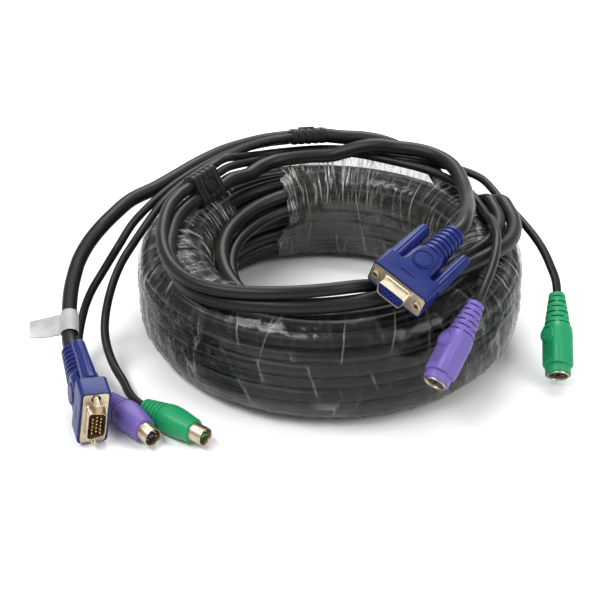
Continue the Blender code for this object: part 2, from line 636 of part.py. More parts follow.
def add_video_hood(name, bore_radius, frame, material):
    """The moulded hood: a block behind the flange, a waist between the knobs and a ribbed relief."""
    seat = FLANGE_THICKNESS + GAP
    steps = 2
    sides = 4 * (steps + 1)
    waist = rounded_outline(HOOD_WAIST_LENGTH, HOOD_WIDTH, HOOD_CORNER_RADIUS, steps)
    rear = rounded_outline(HOOD_REAR_LENGTH, HOOD_REAR_WIDTH, HOOD_REAR_WIDTH * 0.4, steps)
    relief = relief_sections(
        -HOOD_BODY_END - MM, -HOOD_TOTAL, RELIEF_START_RADIUS, RELIEF_END_RADIUS, RELIEF_RIBS,
        RELIEF_RIB_DEPTH, sides, 0)
    sections = [lifted(waist, -seat - HOOD_BLOCK_DEPTH / 2), lifted(waist, -HOOD_BODY_END * 0.7)]
    sections += [lifted(rear, -HOOD_BODY_END)] + relief
    item = add_object(name, loft(sections), material, frame)
    block = rounded_outline(HOOD_LENGTH, HOOD_WIDTH + 2 * GAP, HOOD_CORNER_RADIUS, 2)
    boolean(item, prism(block, -seat - HOOD_BLOCK_DEPTH, -seat), "UNION")
    boss = prism(circle_outline(HOOD_BOSS_RADIUS, 14), 0, HOOD_WIDTH / 2 + HOOD_BOSS_HEIGHT)
    turn = Matrix.Translation((0, 0, -HOOD_BOSS_SETBACK)) @ Matrix.Rotation(math.radians(-90), 4, "X")
    boolean(item, boss, "UNION", turn)
    pocket = d_outline(PLUG_SHELL_LENGTH + 2 * GAP, PLUG_SHELL_WIDTH + 2 * GAP)
    cutters = [prism(pocket, -INSERT_REAR - GAP, MM)]
    for side in (-1, 1):
        bore = prism(circle_outline(bore_radius, 10), -seat - HOOD_BLOCK_DEPTH - MM, MM)
        bmesh.ops.translate(bore, verts=bore.verts, vec=(side * SCREW_SPACING / 2, 0, 0))
        cutters.append(bore)
    boolean(item, merge(cutters), "DIFFERENCE")
    seat_cut = circle_outline(VIDEO_DIAMETER / 2 + CORD_SEAT_GAP, 12)
    boolean(item, prism(seat_cut, -HOOD_TOTAL - MM, -HOOD_TOTAL + CORD_SEAT_DEPTH), "DIFFERENCE")


def add_knob(name, shank_radius, frame, material):
    """A long thumb knob beside the hood, with a blind bore for its screw; its origin is on its axis."""
    front = -(FLANGE_THICKNESS + GAP + HOOD_BLOCK_DEPTH + TURN_GAP)
    bore = shank_radius + GAP
    profile = [
        (0, front - KNOB_BORE_DEPTH), (bore, front - KNOB_BORE_DEPTH), (bore, front), (KNOB_RADIUS, front),
        (KNOB_RADIUS, -KNOB_END + KNOB_GRIP_LENGTH), (KNOB_GRIP_RADIUS, -KNOB_END + KNOB_GRIP_LENGTH - MM),
        (KNOB_GRIP_RADIUS, -KNOB_END + MM), (KNOB_GRIP_RADIUS - MM, -KNOB_END), (0, -KNOB_END),
    ]
    return add_object(name, lathe(profile, 12), material, frame)


def shank_rear():
    """Rear end of a screw or nut, just short of the bottom of its knob's bore."""
    return -(FLANGE_THICKNESS + GAP + HOOD_BLOCK_DEPTH + TURN_GAP + KNOB_BORE_DEPTH - GAP)


def add_screw(name, frame, material):
    """The thumbscrew's shank, from the knob's bore through the hood and the flange."""
    profile = [
        (0, shank_rear()), (SCREW_RADIUS, shank_rear()), (SCREW_RADIUS, SCREW_TIP - 0.5 * MM),
        (SCREW_RADIUS - 0.5 * MM, SCREW_TIP), (0, SCREW_TIP),
    ]
    add_object(name, lathe(profile, 10), material, frame)


def add_nut(name, frame, material):
    """The threaded sleeve of a socket's knob, open at its front end."""
    profile = [
        (0, shank_rear()), (NUT_RADIUS, shank_rear()), (NUT_RADIUS, NUT_TIP), (NUT_BORE_RADIUS, NUT_TIP),
        (NUT_BORE_RADIUS, NUT_TIP - NUT_BORE_DEPTH), (0, NUT_TIP - NUT_BORE_DEPTH),
    ]
    add_object(name, lathe(profile, 10), material, frame)


def knob_frame(frame, side):
    """Frame on the axis of one of a connector's two knobs."""
    return frame @ Matrix.Translation((side * SCREW_SPACING / 2, 0, 0))


def add_video_plug(blue, nickel, black):
    """The fifteen-pin plug with its two thumbscrews."""
    frame = facing_frame(VIDEO_PLUG_AT, VIDEO_PLUG_FACES, VIDEO_PLUG_LONG)
    add_video_hood("video_plug_hood", SCREW_RADIUS + TURN_GAP, frame, blue)
    add_video_shell(
        "video_plug_shell", PLUG_SHELL_LENGTH, PLUG_SHELL_WIDTH, SCREW_RADIUS + TURN_GAP, frame, nickel)
    add_video_insert(
        "video_plug_insert", PLUG_SHELL_LENGTH, PLUG_SHELL_WIDTH, PLUG_INSERT_FRONT, PIN_RADIUS,
        (0, PLUG_INSERT_FRONT + PIN_LENGTH), "UNION", frame, black)
    for side, word in ((1, "upper"), (-1, "lower")):
        add_knob("video_plug_knob_" + word, SCREW_RADIUS, knob_frame(frame, side), blue)
        add_screw("video_plug_screw_" + word, knob_frame(frame, side), nickel)


def add_video_socket(blue, nickel):
    """The fifteen-hole socket with its two threaded nuts."""
    frame = facing_frame(VIDEO_SOCKET_AT, VIDEO_SOCKET_FACES, VIDEO_SOCKET_LONG)
    add_video_hood("video_socket_hood", NUT_RADIUS + TURN_GAP, frame, blue)
    add_video_shell(
        "video_socket_shell", SOCKET_SHELL_LENGTH, SOCKET_SHELL_WIDTH, NUT_RADIUS + TURN_GAP, frame, nickel)
    add_video_insert(
        "video_socket_insert", SOCKET_SHELL_LENGTH, SOCKET_SHELL_WIDTH, SOCKET_INSERT_FRONT, HOLE_RADIUS,
        (SOCKET_INSERT_FRONT - HOLE_DEPTH, SOCKET_INSERT_FRONT + MM), "DIFFERENCE", frame, blue)
    for side, word in ((-1, "left"), (1, "right")):
        add_knob("video_socket_knob_" + word, NUT_RADIUS, knob_frame(frame, side), blue)
        add_nut("video_socket_nut_" + word, knob_frame(frame, side), nickel)


def add_round_body(name, front, total, collar, bore_radius, bore_depth, frame, material):
    """A round connector's moulded body: boxy grip and ribbed relief, on a socket with a collar and a boss."""
    steps = 2
    sides = 4 * (steps + 1)
    phase = 0
    grip = rounded_outline(ROUND_BODY_WIDTH, ROUND_BODY_HEIGHT, ROUND_BODY_HEIGHT * 0.3, steps)
    sections = [lifted(circle_outline(ROUND_COLLAR_RADIUS - 0.6 * MM, sides, phase), -front)]
    grip_start = front + 1.5 * MM
    if collar:
        grip_start = front + ROUND_COLLAR_LENGTH
        sections.append(lifted(circle_outline(ROUND_COLLAR_RADIUS, sides, phase), -front - 0.6 * MM))
        sections.append(lifted(circle_outline(ROUND_COLLAR_RADIUS, sides, phase), -grip_start + 0.8 * MM))
    grip_end = front + ROUND_GRIP_SHARE * (total - front)
    sections += [lifted(grip, -grip_start), lifted(grip, -grip_end)]
    sections += relief_sections(
        -grip_end - 2 * MM, -total, ROUND_NECK_RADIUS, ROUND_TAIL_RADIUS, 4, ROUND_RIB_DEPTH, sides, phase)
    item = add_object(name, loft(sections), material, frame)
    if collar:
        boss = prism(circle_outline(ROUND_BOSS_RADIUS, 12), 0, ROUND_BODY_HEIGHT / 2 + ROUND_BOSS_HEIGHT)
        turn = Matrix.Translation((0, 0, -ROUND_BOSS_SETBACK)) @ Matrix.Rotation(math.radians(-90), 4, "X")
        boolean(item, boss, "UNION", turn)
    boolean(item, prism(circle_outline(bore_radius, 16), -front - bore_depth, MM), "DIFFERENCE")
    seat_cut = circle_outline(THIN_DIAMETER / 2 + CORD_SEAT_GAP, 10)
    boolean(item, prism(seat_cut, -total - MM, -total + CORD_SEAT_DEPTH), "DIFFERENCE")


def round_contact_places():
    """Centres of the six contacts: three pairs, open towards the key at -Y."""
    angles = (28, 62, 118, 152, 200, 340)
    return [
        (ROUND_PIN_CIRCLE * math.cos(math.radians(angle)), ROUND_PIN_CIRCLE * math.sin(math.radians(angle)))
        for angle in angles]


def add_round_plug(prefix, at, faces, body_material, insert_material, nickel):
    """A six-pin round plug: its origin is the centre of the shell's front rim."""
    frame = upright_frame(at, faces)
    seat = ROUND_SHELL_REACH
    add_round_body(
        prefix + "_body", seat, ROUND_PLUG_TOTAL, False, ROUND_SHELL_RADIUS + GAP, ROUND_SHELL_SEAT + GAP,
        frame, body_material)
    inner = ROUND_SHELL_RADIUS - ROUND_SHELL_WALL
    rear = -seat - ROUND_SHELL_SEAT
    profile = [(ROUND_SHELL_RADIUS, 0), (ROUND_SHELL_RADIUS, rear), (inner, rear), (inner, 0)]
    add_object(prefix + "_shell", lathe(profile, 16), nickel, frame)
    core = prism(circle_outline(inner - GAP, 16), rear, -ROUND_INSERT_FRONT)
    item = add_object(prefix + "_insert", core, insert_material, frame)
    contacts = []
    for x, y in round_contact_places():
        pin = prism(circle_outline(ROUND_PIN_RADIUS, 6), -seat, -ROUND_PIN_TIP)
        bmesh.ops.translate(pin, verts=pin.verts, vec=(x, y, 0))
        contacts.append(pin)
    key = prism(rounded_outline(ROUND_KEY_SIZE * 1.4, ROUND_KEY_SIZE, 0.2 * MM, 1), -seat, -ROUND_PIN_TIP)
    contacts.append(key)
    boolean(item, merge(contacts), "UNION")


def add_round_socket(prefix, at, faces, roll, body_material, insert_material, nickel):
    """A six-hole round socket: its origin is the centre of the metal ring's front rim."""
    frame = upright_frame(at, faces, roll)
    front = RING_STANDS_OUT
    add_round_body(
        prefix + "_body", front, ROUND_SOCKET_TOTAL, True, RING_RADIUS + GAP, RING_SEAT + GAP, frame,
        body_material)
    inner = RING_RADIUS - RING_WALL
    rear = -front - RING_SEAT
    profile = [(RING_RADIUS, 0), (RING_RADIUS, rear), (inner, rear), (inner, 0)]
    add_object(prefix + "_ring", lathe(profile, 16), nickel, frame)
    foot = inner - GAP
    profile = [
        (0, rear), (foot, rear), (foot, rear + 1.5 * MM), (SOCKET_CORE_RADIUS, rear + 1.5 * MM),
        (SOCKET_CORE_RADIUS, -SOCKET_CORE_SETBACK), (0, -SOCKET_CORE_SETBACK),
    ]
    item = add_object(prefix + "_insert", lathe(profile, 16), insert_material, frame)
    bottom = -SOCKET_CORE_SETBACK - SOCKET_HOLE_DEPTH
    cutters = []
    for x, y in round_contact_places():
        hole = prism(circle_outline(SOCKET_HOLE_RADIUS, 6), bottom, MM)
        bmesh.ops.translate(hole, verts=hole.verts, vec=(x, y, 0))
        cutters.append(hole)
    cutters.append(prism(rounded_outline(ROUND_KEY_SIZE * 1.5, ROUND_KEY_SIZE * 1.1, 0.2 * MM, 1), bottom, MM))
    boolean(item, merge(cutters), "DIFFERENCE")


def add_cords(material):
    """The six leads, the loose tails and the loose inner turn of the trunk's two strands."""
    cords = {
        "plug_video_lead": (PLUG_VIDEO_ROUTE, VIDEO_DIAMETER),
        "plug_keyboard_lead": (PLUG_KEYBOARD_ROUTE, THIN_DIAMETER),
        "plug_mouse_lead": (PLUG_MOUSE_ROUTE, THIN_DIAMETER),
        "socket_video_lead": (SOCKET_VIDEO_ROUTE, VIDEO_DIAMETER),
        "socket_keyboard_lead": (SOCKET_KEYBOARD_ROUTE, THIN_DIAMETER),
        "socket_mouse_lead": (SOCKET_MOUSE_ROUTE, THIN_DIAMETER),
        "plug_tail_video_strand": (PLUG_TAIL_VIDEO_ROUTE, VIDEO_DIAMETER),
        "plug_tail_data_strand": (PLUG_TAIL_DATA_ROUTE, DATA_DIAMETER),
        "socket_tail_video_strand": (SOCKET_TAIL_VIDEO_ROUTE, VIDEO_DIAMETER),
        "socket_tail_data_strand": (SOCKET_TAIL_DATA_ROUTE, DATA_DIAMETER),
        "inner_turn_video_strand": (INNER_TURN_VIDEO_ROUTE, VIDEO_DIAMETER),
        "inner_turn_data_strand": (INNER_TURN_DATA_ROUTE, DATA_DIAMETER),
    }
    for name, (route, diameter) in cords.items():
        add_cord(name, route, diameter, material)


def main():
    clear_scene()
    jacket = make_material("jacket", CHARCOAL, 0.5)
    film = make_material("film", FILM_GREY, 0.18, alpha=0.35)
    blue = make_material("blue_plastic", BLUE, 0.45)
    purple = make_material("purple_plastic", PURPLE, 0.4)
    green = make_material("green_plastic", GREEN, 0.4)
    nickel = make_material("nickel", NICKEL, 0.25, metallic=1.0)
    black = make_material("black_plastic", BLACK, 0.4)
    dark_purple = make_material("dark_purple_plastic", DARK_PURPLE, 0.4)
    white = make_material("label_paper", WHITE, 0.6)

    add_wound_trunk(jacket)
    add_stretch_film(film)
    add_junction("plug_end_junction", PLUG_JUNCTION_AT, PLUG_JUNCTION_RUNS, PLUG_JUNCTION_FACES, jacket)
    add_junction(
        "socket_end_junction", SOCKET_JUNCTION_AT, SOCKET_JUNCTION_RUNS, SOCKET_JUNCTION_FACES, jacket)
    add_cords(jacket)
    add_label(white)
    add_video_plug(blue, nickel, black)
    add_video_socket(blue, nickel)
    add_round_plug("keyboard_plug", KEYBOARD_PLUG_AT, KEYBOARD_PLUG_FACES, purple, dark_purple, nickel)
    add_round_plug("mouse_plug", MOUSE_PLUG_AT, MOUSE_PLUG_FACES, green, green, nickel)
    add_round_socket(
        "keyboard_socket", KEYBOARD_SOCKET_AT, KEYBOARD_SOCKET_FACES, KEYBOARD_SOCKET_ROLL, purple, black, nickel)
    add_round_socket("mouse_socket", MOUSE_SOCKET_AT, MOUSE_SOCKET_FACES, MOUSE_SOCKET_ROLL, green, black, nickel)


main()
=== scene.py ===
"""Looks of a keyboard, video and mouse extension cable, coiled in clear stretch film on a pale floor.

The coil's centre is at the origin and +Z is up. Sizes are in metres, except in the routes, which are in mm.
"""

import json
import math

import bmesh
import bpy
from mathutils import Matrix, Vector, noise

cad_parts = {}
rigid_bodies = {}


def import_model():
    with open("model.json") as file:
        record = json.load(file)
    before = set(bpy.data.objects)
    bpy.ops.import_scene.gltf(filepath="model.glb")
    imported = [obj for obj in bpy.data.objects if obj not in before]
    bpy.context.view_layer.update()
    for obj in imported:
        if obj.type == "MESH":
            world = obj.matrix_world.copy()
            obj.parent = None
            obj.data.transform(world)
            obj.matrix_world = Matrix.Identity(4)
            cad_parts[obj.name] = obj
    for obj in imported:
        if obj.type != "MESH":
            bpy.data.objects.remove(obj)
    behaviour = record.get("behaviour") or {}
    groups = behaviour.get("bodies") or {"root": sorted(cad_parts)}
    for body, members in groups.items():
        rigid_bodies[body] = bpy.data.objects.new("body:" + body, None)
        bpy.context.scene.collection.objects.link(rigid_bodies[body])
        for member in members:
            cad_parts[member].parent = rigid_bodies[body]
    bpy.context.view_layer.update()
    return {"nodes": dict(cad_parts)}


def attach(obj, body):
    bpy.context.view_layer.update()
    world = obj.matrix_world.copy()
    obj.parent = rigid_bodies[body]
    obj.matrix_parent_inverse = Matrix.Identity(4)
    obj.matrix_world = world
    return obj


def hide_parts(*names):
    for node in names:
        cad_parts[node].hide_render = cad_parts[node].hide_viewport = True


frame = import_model()

bl_info = {
    "name": "Coiled switch cable",
    "version": (1, 0, 0),
    "blender": (4, 5, 0),
    "location": "3D View > Sidebar > Cable",
    "description": "Models a coiled extension cable with its connectors, film and stage",
    "category": "Add Mesh",
}

MM = 0.001
BODY = "cable"

# Where the middle of each video connector's flange is, in mm, which way it faces, and its long side
VIDEO_PLACES = {
    "video_plug": ((-112.5, -114.0, 16.7), (0.326, -0.933, -0.155), (0.152, -0.110, 0.982)),
    "video_socket": ((31.9, -86.4, 74.3), (-0.588, -0.794, -0.153), (0.771, -0.493, -0.403)),
}
# Where the front of each round connector is, in mm, which way it faces, and its roll in degrees
ROUND_PLACES = {
    "keyboard_plug": ((-84.4, -116.1, 7.2), (0.62, -0.785, 0.0), 0),
    "mouse_plug": ((-59.0, -115.0, 7.2), (0.788, -0.615, 0.0), 0),
    "keyboard_socket": ((50.5, -110.2, 36.5), (-0.449, -0.731, -0.513), 28),
    "mouse_socket": ((116.8, -61.5, 8.5), (-0.038, -0.845, -0.533), 52),
}
# Where the middle of each junction is, in mm, which way its broad side faces, and which way it runs
JUNCTION_PLACES = {
    "plug_end_junction": ((-14.0, 88.4, 69.8), (-0.066, 0.418, 0.906), (0.988, 0.155, 0.0)),
    "socket_end_junction": ((-67.2, 27.2, 69.0), (0.723, -0.476, 0.5), (-0.55, -0.835, 0.0)),
}
UPWARDS = (0.0, 0.0, 1.0)

# The coil's rounded section, and the stretch where the film leaves the strands bare
COIL_OUTER_RADIUS = 102 * MM
COIL_INNER_RADIUS = 62 * MM
COIL_HEIGHT = 60 * MM
COIL_CORNER_RADIUS = 19 * MM
FILM_OPEN_FROM = 104
FILM_OPEN_TO = 140
FILM_FLAT_SIZE = (0.16, 0.577)
FILM_COLUMNS = 132
FILM_STEPS = 300
WRAP_RADIUS = 0.092
SECTION_MIDDLE = Vector((82, 30))

# Video connector
FLANGE = (30.8 * MM, 12.5 * MM, 0.8 * MM)
SCREW_SPACING = 25.0 * MM
SHELL_CORNER_RADIUS = 2.4 * MM
SHELL_SLANT = 10
PLUG_SHELL = (17.9 * MM, 9.4 * MM)
SOCKET_SHELL = (16.4 * MM, 7.9 * MM)
CONTACT_PITCH = 2.29 * MM
CONTACT_ROW_PITCH = 1.98 * MM
HOOD_SIZE = (31.8 * MM, 15.2 * MM)
HOOD_BLOCK_DEPTH = 11.0 * MM
HOOD_WAIST_WIDTH = 14.6 * MM
HOOD_TOTAL = 50.5 * MM
HOOD_BOSS_SETBACK = 19.0 * MM
HOOD_RIM_BACK = 0.15 * MM

# Round connector
ROUND_SHELL_RADIUS = 4.6 * MM
ROUND_SHELL_REACH = 7.6 * MM
ROUND_PLUG_TOTAL = 40.4 * MM
ROUND_SOCKET_TOTAL = 46.6 * MM
RING_RADIUS = 5.5 * MM
ROUND_GRIP_SHARE = 0.60
ROUND_BOSS_SETBACK = 21.5 * MM
ROUND_SOCKET_FRONT = 0.6 * MM
GRIP_LINES = 8

# Steps round a corner of a moulded body, and how far a cord's end goes into its moulding
BODY_CORNER_STEPS = 11
CORD_REACH = 2.5 * MM

# Floor, and each light's name, place, size in metres and power in watts
FLOOR_RADIUS = 6
FLOOR_GAP = 0.0004
LIGHTS = (
    ("key", (-0.75, -0.55, 1.35), (1.4, 0.35), 20),
    ("fill", (1.1, -0.7, 0.95), (0.8, 0.8), 9),
    ("top", (0.05, 0.20, 1.30), (1.5, 0.14), 5),
    ("back", (0.1, 1.1, 1.2), (0.9, 0.9), 18),
)
WORLD_STRENGTH = 0.50


def on_coil(degrees, radius, height):
    """A route point given by its angle round the coil, its distance from the axis and its height, in mm."""
    angle = math.radians(degrees)
    return (radius * math.cos(angle), radius * math.sin(angle), height)


def coil_run(*places):
    """Several such points in a row."""
    return [on_coil(*place) for place in places]


# Routes of the leads and loose strands, as in the part's source, in millimetres
PLUG_VIDEO_ROUTE = [
    *coil_run((105.5, 94.1, 67.6), (112, 96.8, 66.4), (119, 99.2, 64.8), (127, 101.4, 63), (136, 102.4, 61),
        (146, 103, 59.6), (155, 106, 58.6)),
    (-108.6, 32.2, 57.5), (-116.6, 19, 55.5), (-123, 7.2, 53), (-128, -2.6, 49.5), (-131.5, -12.6, 45.5),
    (-133, -22, 42), (-133.8, -30.6, 38), (-133.6, -39.4, 34), (-132.6, -49, 30), (-130.8, -61.8, 25.4),
    (-128.1, -69.4, 24.1),
]
PLUG_KEYBOARD_ROUTE = [
    *coil_run((106, 87.9, 70.6), (112, 89.8, 69.6), (119, 92.4, 67.6), (127, 94.4, 65.2), (136, 95.3, 63),
        (146, 96, 61.5), (156, 97.5, 60.2), (166, 101, 58)),
    (-105.6, 12, 54), (-111.7, -2, 48.5), (-116.5, -5.5, 41.5), (-121, -9.5, 35), (-125.4, -15, 29),
    (-128.5, -21.5, 23), (-130.2, -29, 17), (-130.8, -38, 11.3), (-129.5, -47.5, 6.8), (-126, -56.5, 4.2),
    (-121, -66, 3.7), (-116.6, -74.4, 5.4), (-112.3, -80.8, 7.2), (-107.8, -86.5, 7.2),
]
PLUG_MOUSE_ROUTE = [
    *coil_run((106.4, 83.4, 72.7), (112, 84.7, 71.8), (119, 87.4, 69.8), (127, 89.3, 67.3), (136, 90.3, 65),
        (146, 90.6, 63.3), (156, 91.6, 62), (166, 93.5, 60.7)),
    (-96.5, 9, 57.5), (-102.7, -5.5, 53), (-108.2, -13, 46.5), (-111.6, -20, 41), (-114, -26, 35),
    (-115.6, -31, 29), (-116.4, -36.5, 23), (-115.8, -43, 17.5), (-113.4, -50, 12.5), (-109.4, -58, 8.5),
    (-104.4, -67, 6.6), (-99.9, -78.3, 6.7), (-94.4, -87.3, 7.2), (-88.7, -91.8, 7.2),
]
SOCKET_VIDEO_ROUTE = [
    (-59.6, 34.8, 64.9), (-54, 43.3, 65),
    *coil_run((130.6, 70, 62.9), (122, 73.3, 63.4), (113, 75.6, 63.7), (100, 76, 63.9), (90, 76, 64.1),
        (84, 76.4, 66.4), (78, 77.8, 69), (71, 80.2, 70.6), (64, 83.5, 69.7), (57, 86.8, 69.5),
        (50, 88.5, 69.2), (42, 87, 69.2), (34, 83, 69.5), (26, 78.7, 69.9), (17, 75, 70.8), (7, 72.2, 73),
        (-4, 71.4, 76.4), (-15, 72.3, 79.8), (-24, 74.4, 82.3)),
    (64.8, -41.9, 82.9), (60.1, -48.3, 81.6),
]
SOCKET_KEYBOARD_ROUTE = [
    (-62.2, 36.8, 71), (-57.4, 45.3, 70.7),
    *coil_run((134.5, 75.1, 68.6), (125, 79, 64.9), (117, 81.8, 63.1), (105, 82.7, 62.7), (92, 82.8, 62.7),
        (84, 82.7, 62.7), (77, 81.5, 62.7), (70, 80.2, 62.7), (60, 80, 62.7), (50, 81.3, 62.7),
        (38, 82.6, 62.7), (26, 83, 62.7), (13, 82.6, 62.8), (4, 82.8, 64.4), (-4, 84, 68.3), (-11, 86, 70),
        (-18, 89, 70.8), (-26, 92.5, 69.8), (-33, 96, 67.6), (-39, 99.5, 65.6)),
    (73.4, -72.9, 62.7), (70.2, -78.1, 59),
]
SOCKET_MOUSE_ROUTE = [
    (-64.5, 38.2, 75.3), (-59.7, 46.7, 74.9),
    *coil_run((135, 79.3, 71.9), (126, 83.3, 67), (118, 86.8, 63.6), (108, 87.9, 62.2), (92, 87.9, 62.2),
        (78, 87.2, 62.3), (70, 85.1, 62.4), (63, 84.7, 62.4), (57, 87.4, 62.3), (50, 93.6, 61.2)),
    (82.4, 61.5, 58.6), (93, 42, 55.5), (103, 22.5, 52.4), (109.5, 8.5, 49.5), (113.4, -1.6, 46.5),
    (116, -9.4, 42.8), (118, -14.4, 39), (118.7, -18.5, 35.7), (118.5, -24.4, 31.9),
]
PLUG_TAIL_VIDEO_ROUTE = [
    *coil_run((91.3, 86, 71.4), (86, 87.3, 70), (79, 88.6, 69.6), (72, 89.6, 68.6), (66, 91.9, 65.5),
        (61, 93, 62.8)),
]
PLUG_TAIL_DATA_ROUTE = [
    *coil_run((92.5, 93, 68.2), (86, 95, 66.8), (79, 96, 65.4), (72, 97, 63.2), (66, 98.4, 60.2),
        (62.5, 99.1, 58.1)),
]
SOCKET_TAIL_VIDEO_ROUTE = [
    (-71.7, 17.3, 65.9), (-76.6, 9.4, 65.2),
    *coil_run((180, 80.6, 64.5), (-168, 84.2, 64), (-156, 89.5, 63.6), (-145, 93, 62.5), (-137, 95, 61.5),
        (-129, 95, 61.5), (-120, 93, 62.4), (-110, 90, 63.5), (-99, 87.2, 64.1), (-88, 84.8, 64.4),
        (-79, 83, 64.4), (-72, 81.7, 64.4), (-64, 81, 64.4), (-54, 80.3, 64.4), (-44, 80.3, 64.4),
        (-33, 83.3, 64.4), (-22, 88.2, 63.7), (-12, 93.2, 62.1), (-3, 96, 60.9), (6, 97.3, 60.1),
        (13, 97.3, 60), (18, 96.9, 60.2)),
]
SOCKET_TAIL_DATA_ROUTE = [
    (-74.9, 19.6, 72.4), (-79.8, 11.6, 72.1),
    *coil_run((180, 84, 71.7), (-168, 87.6, 71.2), (-158, 91.5, 70.6), (-148, 95.5, 69.8),
        (-140, 97.7, 69.1), (-132, 98, 68.8), (-124, 96.3, 69.4), (-115, 92.6, 70.4), (-106, 88.8, 71.3),
        (-97, 85.2, 71.7), (-88, 81.8, 71.6), (-80, 78, 70.2), (-73, 74.6, 67.5), (-65, 73, 64.9),
        (-54, 72.3, 63.5), (-44, 72.3, 63.4), (-33, 75.2, 63.5), (-22, 79.5, 63.7), (-12, 84.5, 63.4),
        (-3, 87.8, 62.7), (6, 89.4, 62.4), (13, 89.3, 62.4), (18, 88.9, 62.7)),
]
INNER_TURN_VIDEO_ROUTE = [
    *coil_run((117, 57.6, 50.5), (124, 57.5, 50), (135, 57.4, 49.2), (150, 57.3, 48), (165, 57.3, 47),
        (180, 57.3, 45.5), (195, 57.3, 43.5), (210, 57.3, 41.5), (225, 57.3, 39.5), (240, 57.3, 38),
        (252, 57.3, 37), (262, 57.4, 36.5)),
]
INNER_TURN_DATA_ROUTE = [
    *coil_run((117, 53.3, 43.8), (124, 53, 43.3), (135, 52.8, 42.5), (150, 52.6, 41.3), (165, 52.6, 40.3),
        (180, 52.6, 38.8), (195, 52.6, 36.8), (210, 52.6, 34.8), (225, 52.6, 32.8), (240, 52.6, 31.3),
        (252, 52.8, 30.3), (262, 53, 29.8)),
]

# Where the inner turn's two strands slip under the film at their ends: angle, distance from the axis, height
VIDEO_SLIPS_IN = ((455, 70.5, 46), (462, 65.5, 48), (470, 59.8, 50), (477, 57.6, 50.5), (485, 57.5, 50.0))
DATA_SLIPS_IN = ((453, 68, 39), (461, 61.5, 41.5), (470, 54.8, 43.3), (477, 53.3, 43.8), (485, 53, 43.2))
VIDEO_SLIPS_OUT = ((263, 57.4, 36.5), (269, 59.8, 36.2), (277, 65, 35.5), (286, 70.5, 35))
DATA_SLIPS_OUT = ((263, 53, 29.8), (269, 55.4, 29.4), (278, 61.5, 28.6), (288, 68, 28))

# Where the label's band sits on the plug end's video lead, which way the lead runs there, and the flag's side
LABEL_AT = (-132.37, -50.02, 29.81)
LABEL_RUNS = (0.1237, -0.9293, -0.348)
LABEL_FLAG_SIDE = (-0.96, -0.02, -0.06)

# The trunk's two strands come off one path through the coil's section, wound inwards from its outside: its
# inset, the pitches of its layers and of a pair in mm, the angle of its first turn, and its numbers of steps
STRAND_INSET = 5.0
LAYER_PITCH = 7.7
PAIR_PITCH = 14.8
FIRST_TURN_AT = 46
TURN_STEPS = 30
TURNS = 16
CHAIN_STARTS = 0.108
LAYERS = 2.5
CORE_INSET = 19.0
CHAIN_STEPS = 400


def colour_setting(name, description, default):
    """A colour among a group's settings."""
    return bpy.props.FloatVectorProperty(
        name=name, description=description, default=default, min=0.0, max=1.0, size=3, subtype="COLOR")


def length_setting(name, description, default, low, high):
    """A length among a group's settings."""
    return bpy.props.FloatProperty(
        name=name, description=description, default=default, min=low, max=high, subtype="DISTANCE",
        unit="LENGTH")


def place_setting(name, description, default):
    """A place among a group's settings."""
    return bpy.props.FloatVectorProperty(
        name=name, description=description, default=default, size=3, subtype="TRANSLATION", unit="LENGTH")


class CoilSettings(bpy.types.PropertyGroup):
    """Sizes and colours of the trunk's strands and the leads."""

    video_diameter: length_setting(
        "Video strand", "Diameter of the video strand and its leads", 8.0 * MM, 0.004, 0.012)
    data_diameter: length_setting(
        "Data strand", "Diameter of the trunk's data strand", 6.5 * MM, 0.003, 0.010)
    thin_diameter: length_setting(
        "Thin lead", "Diameter of a keyboard or mouse lead", 4.5 * MM, 0.003, 0.008)
    jacket_colour: colour_setting(
        "Jacket", "Colour of the cable's jackets and junctions", (0.0065, 0.0065, 0.0058))


class FilmSettings(bpy.types.PropertyGroup):
    """How the stretch film round the coil looks."""

    tint: colour_setting("Tint", "Colour of the film where it lies in several layers", (0.105, 0.102, 0.084))
    density: bpy.props.FloatProperty(
        name="Density", description="How much a single layer of film hides", default=0.28, min=0.0, max=1.0,
        subtype="FACTOR")
    crease_height: length_setting(
        "Crease height", "How far the film's creases stand up", 0.7 * MM, 0.0, 0.003)


class ConnectorSettings(bpy.types.PropertyGroup):
    """Colours of the connectors."""

    video_colour: colour_setting("Video", "Colour of the video connectors", (0.0015, 0.010, 0.112))
    keyboard_colour: colour_setting("Keyboard", "Colour of the keyboard connectors", (0.140, 0.099, 0.345))
    mouse_colour: colour_setting("Mouse", "Colour of the mouse connectors", (0.010, 0.255, 0.098))
    contact_colour: colour_setting("Contacts", "Colour of the pins", (0.83, 0.62, 0.30))


class StageSettings(bpy.types.PropertyGroup):
    """The camera and the floor's colour."""

    camera_at: place_setting("Camera", "Where the camera stands", (0.0, -0.7599, 0.4822))
    camera_aim: place_setting("Aim", "Point that the camera looks at", (-0.0158, 0.0, 0.0148))
    lens: bpy.props.FloatProperty(
        name="Lens", description="Focal length in millimetres", default=99.18, min=20, max=300)
    floor_colour: colour_setting("Floor", "Colour of the pale floor", (0.90, 0.90, 0.90))


class Wire:
    """A shader node's output that takes arithmetic."""

    def __init__(self, shader, socket):
        self.shader = shader
        self.socket = socket

    def __add__(self, other):
        return self.shader.maths("ADD", self, other)

    def __radd__(self, other):
        return self.shader.maths("ADD", other, self)

    def __mul__(self, other):
        return self.shader.maths("MULTIPLY", self, other)

    def __rmul__(self, other):
        return self.shader.maths("MULTIPLY", other, self)


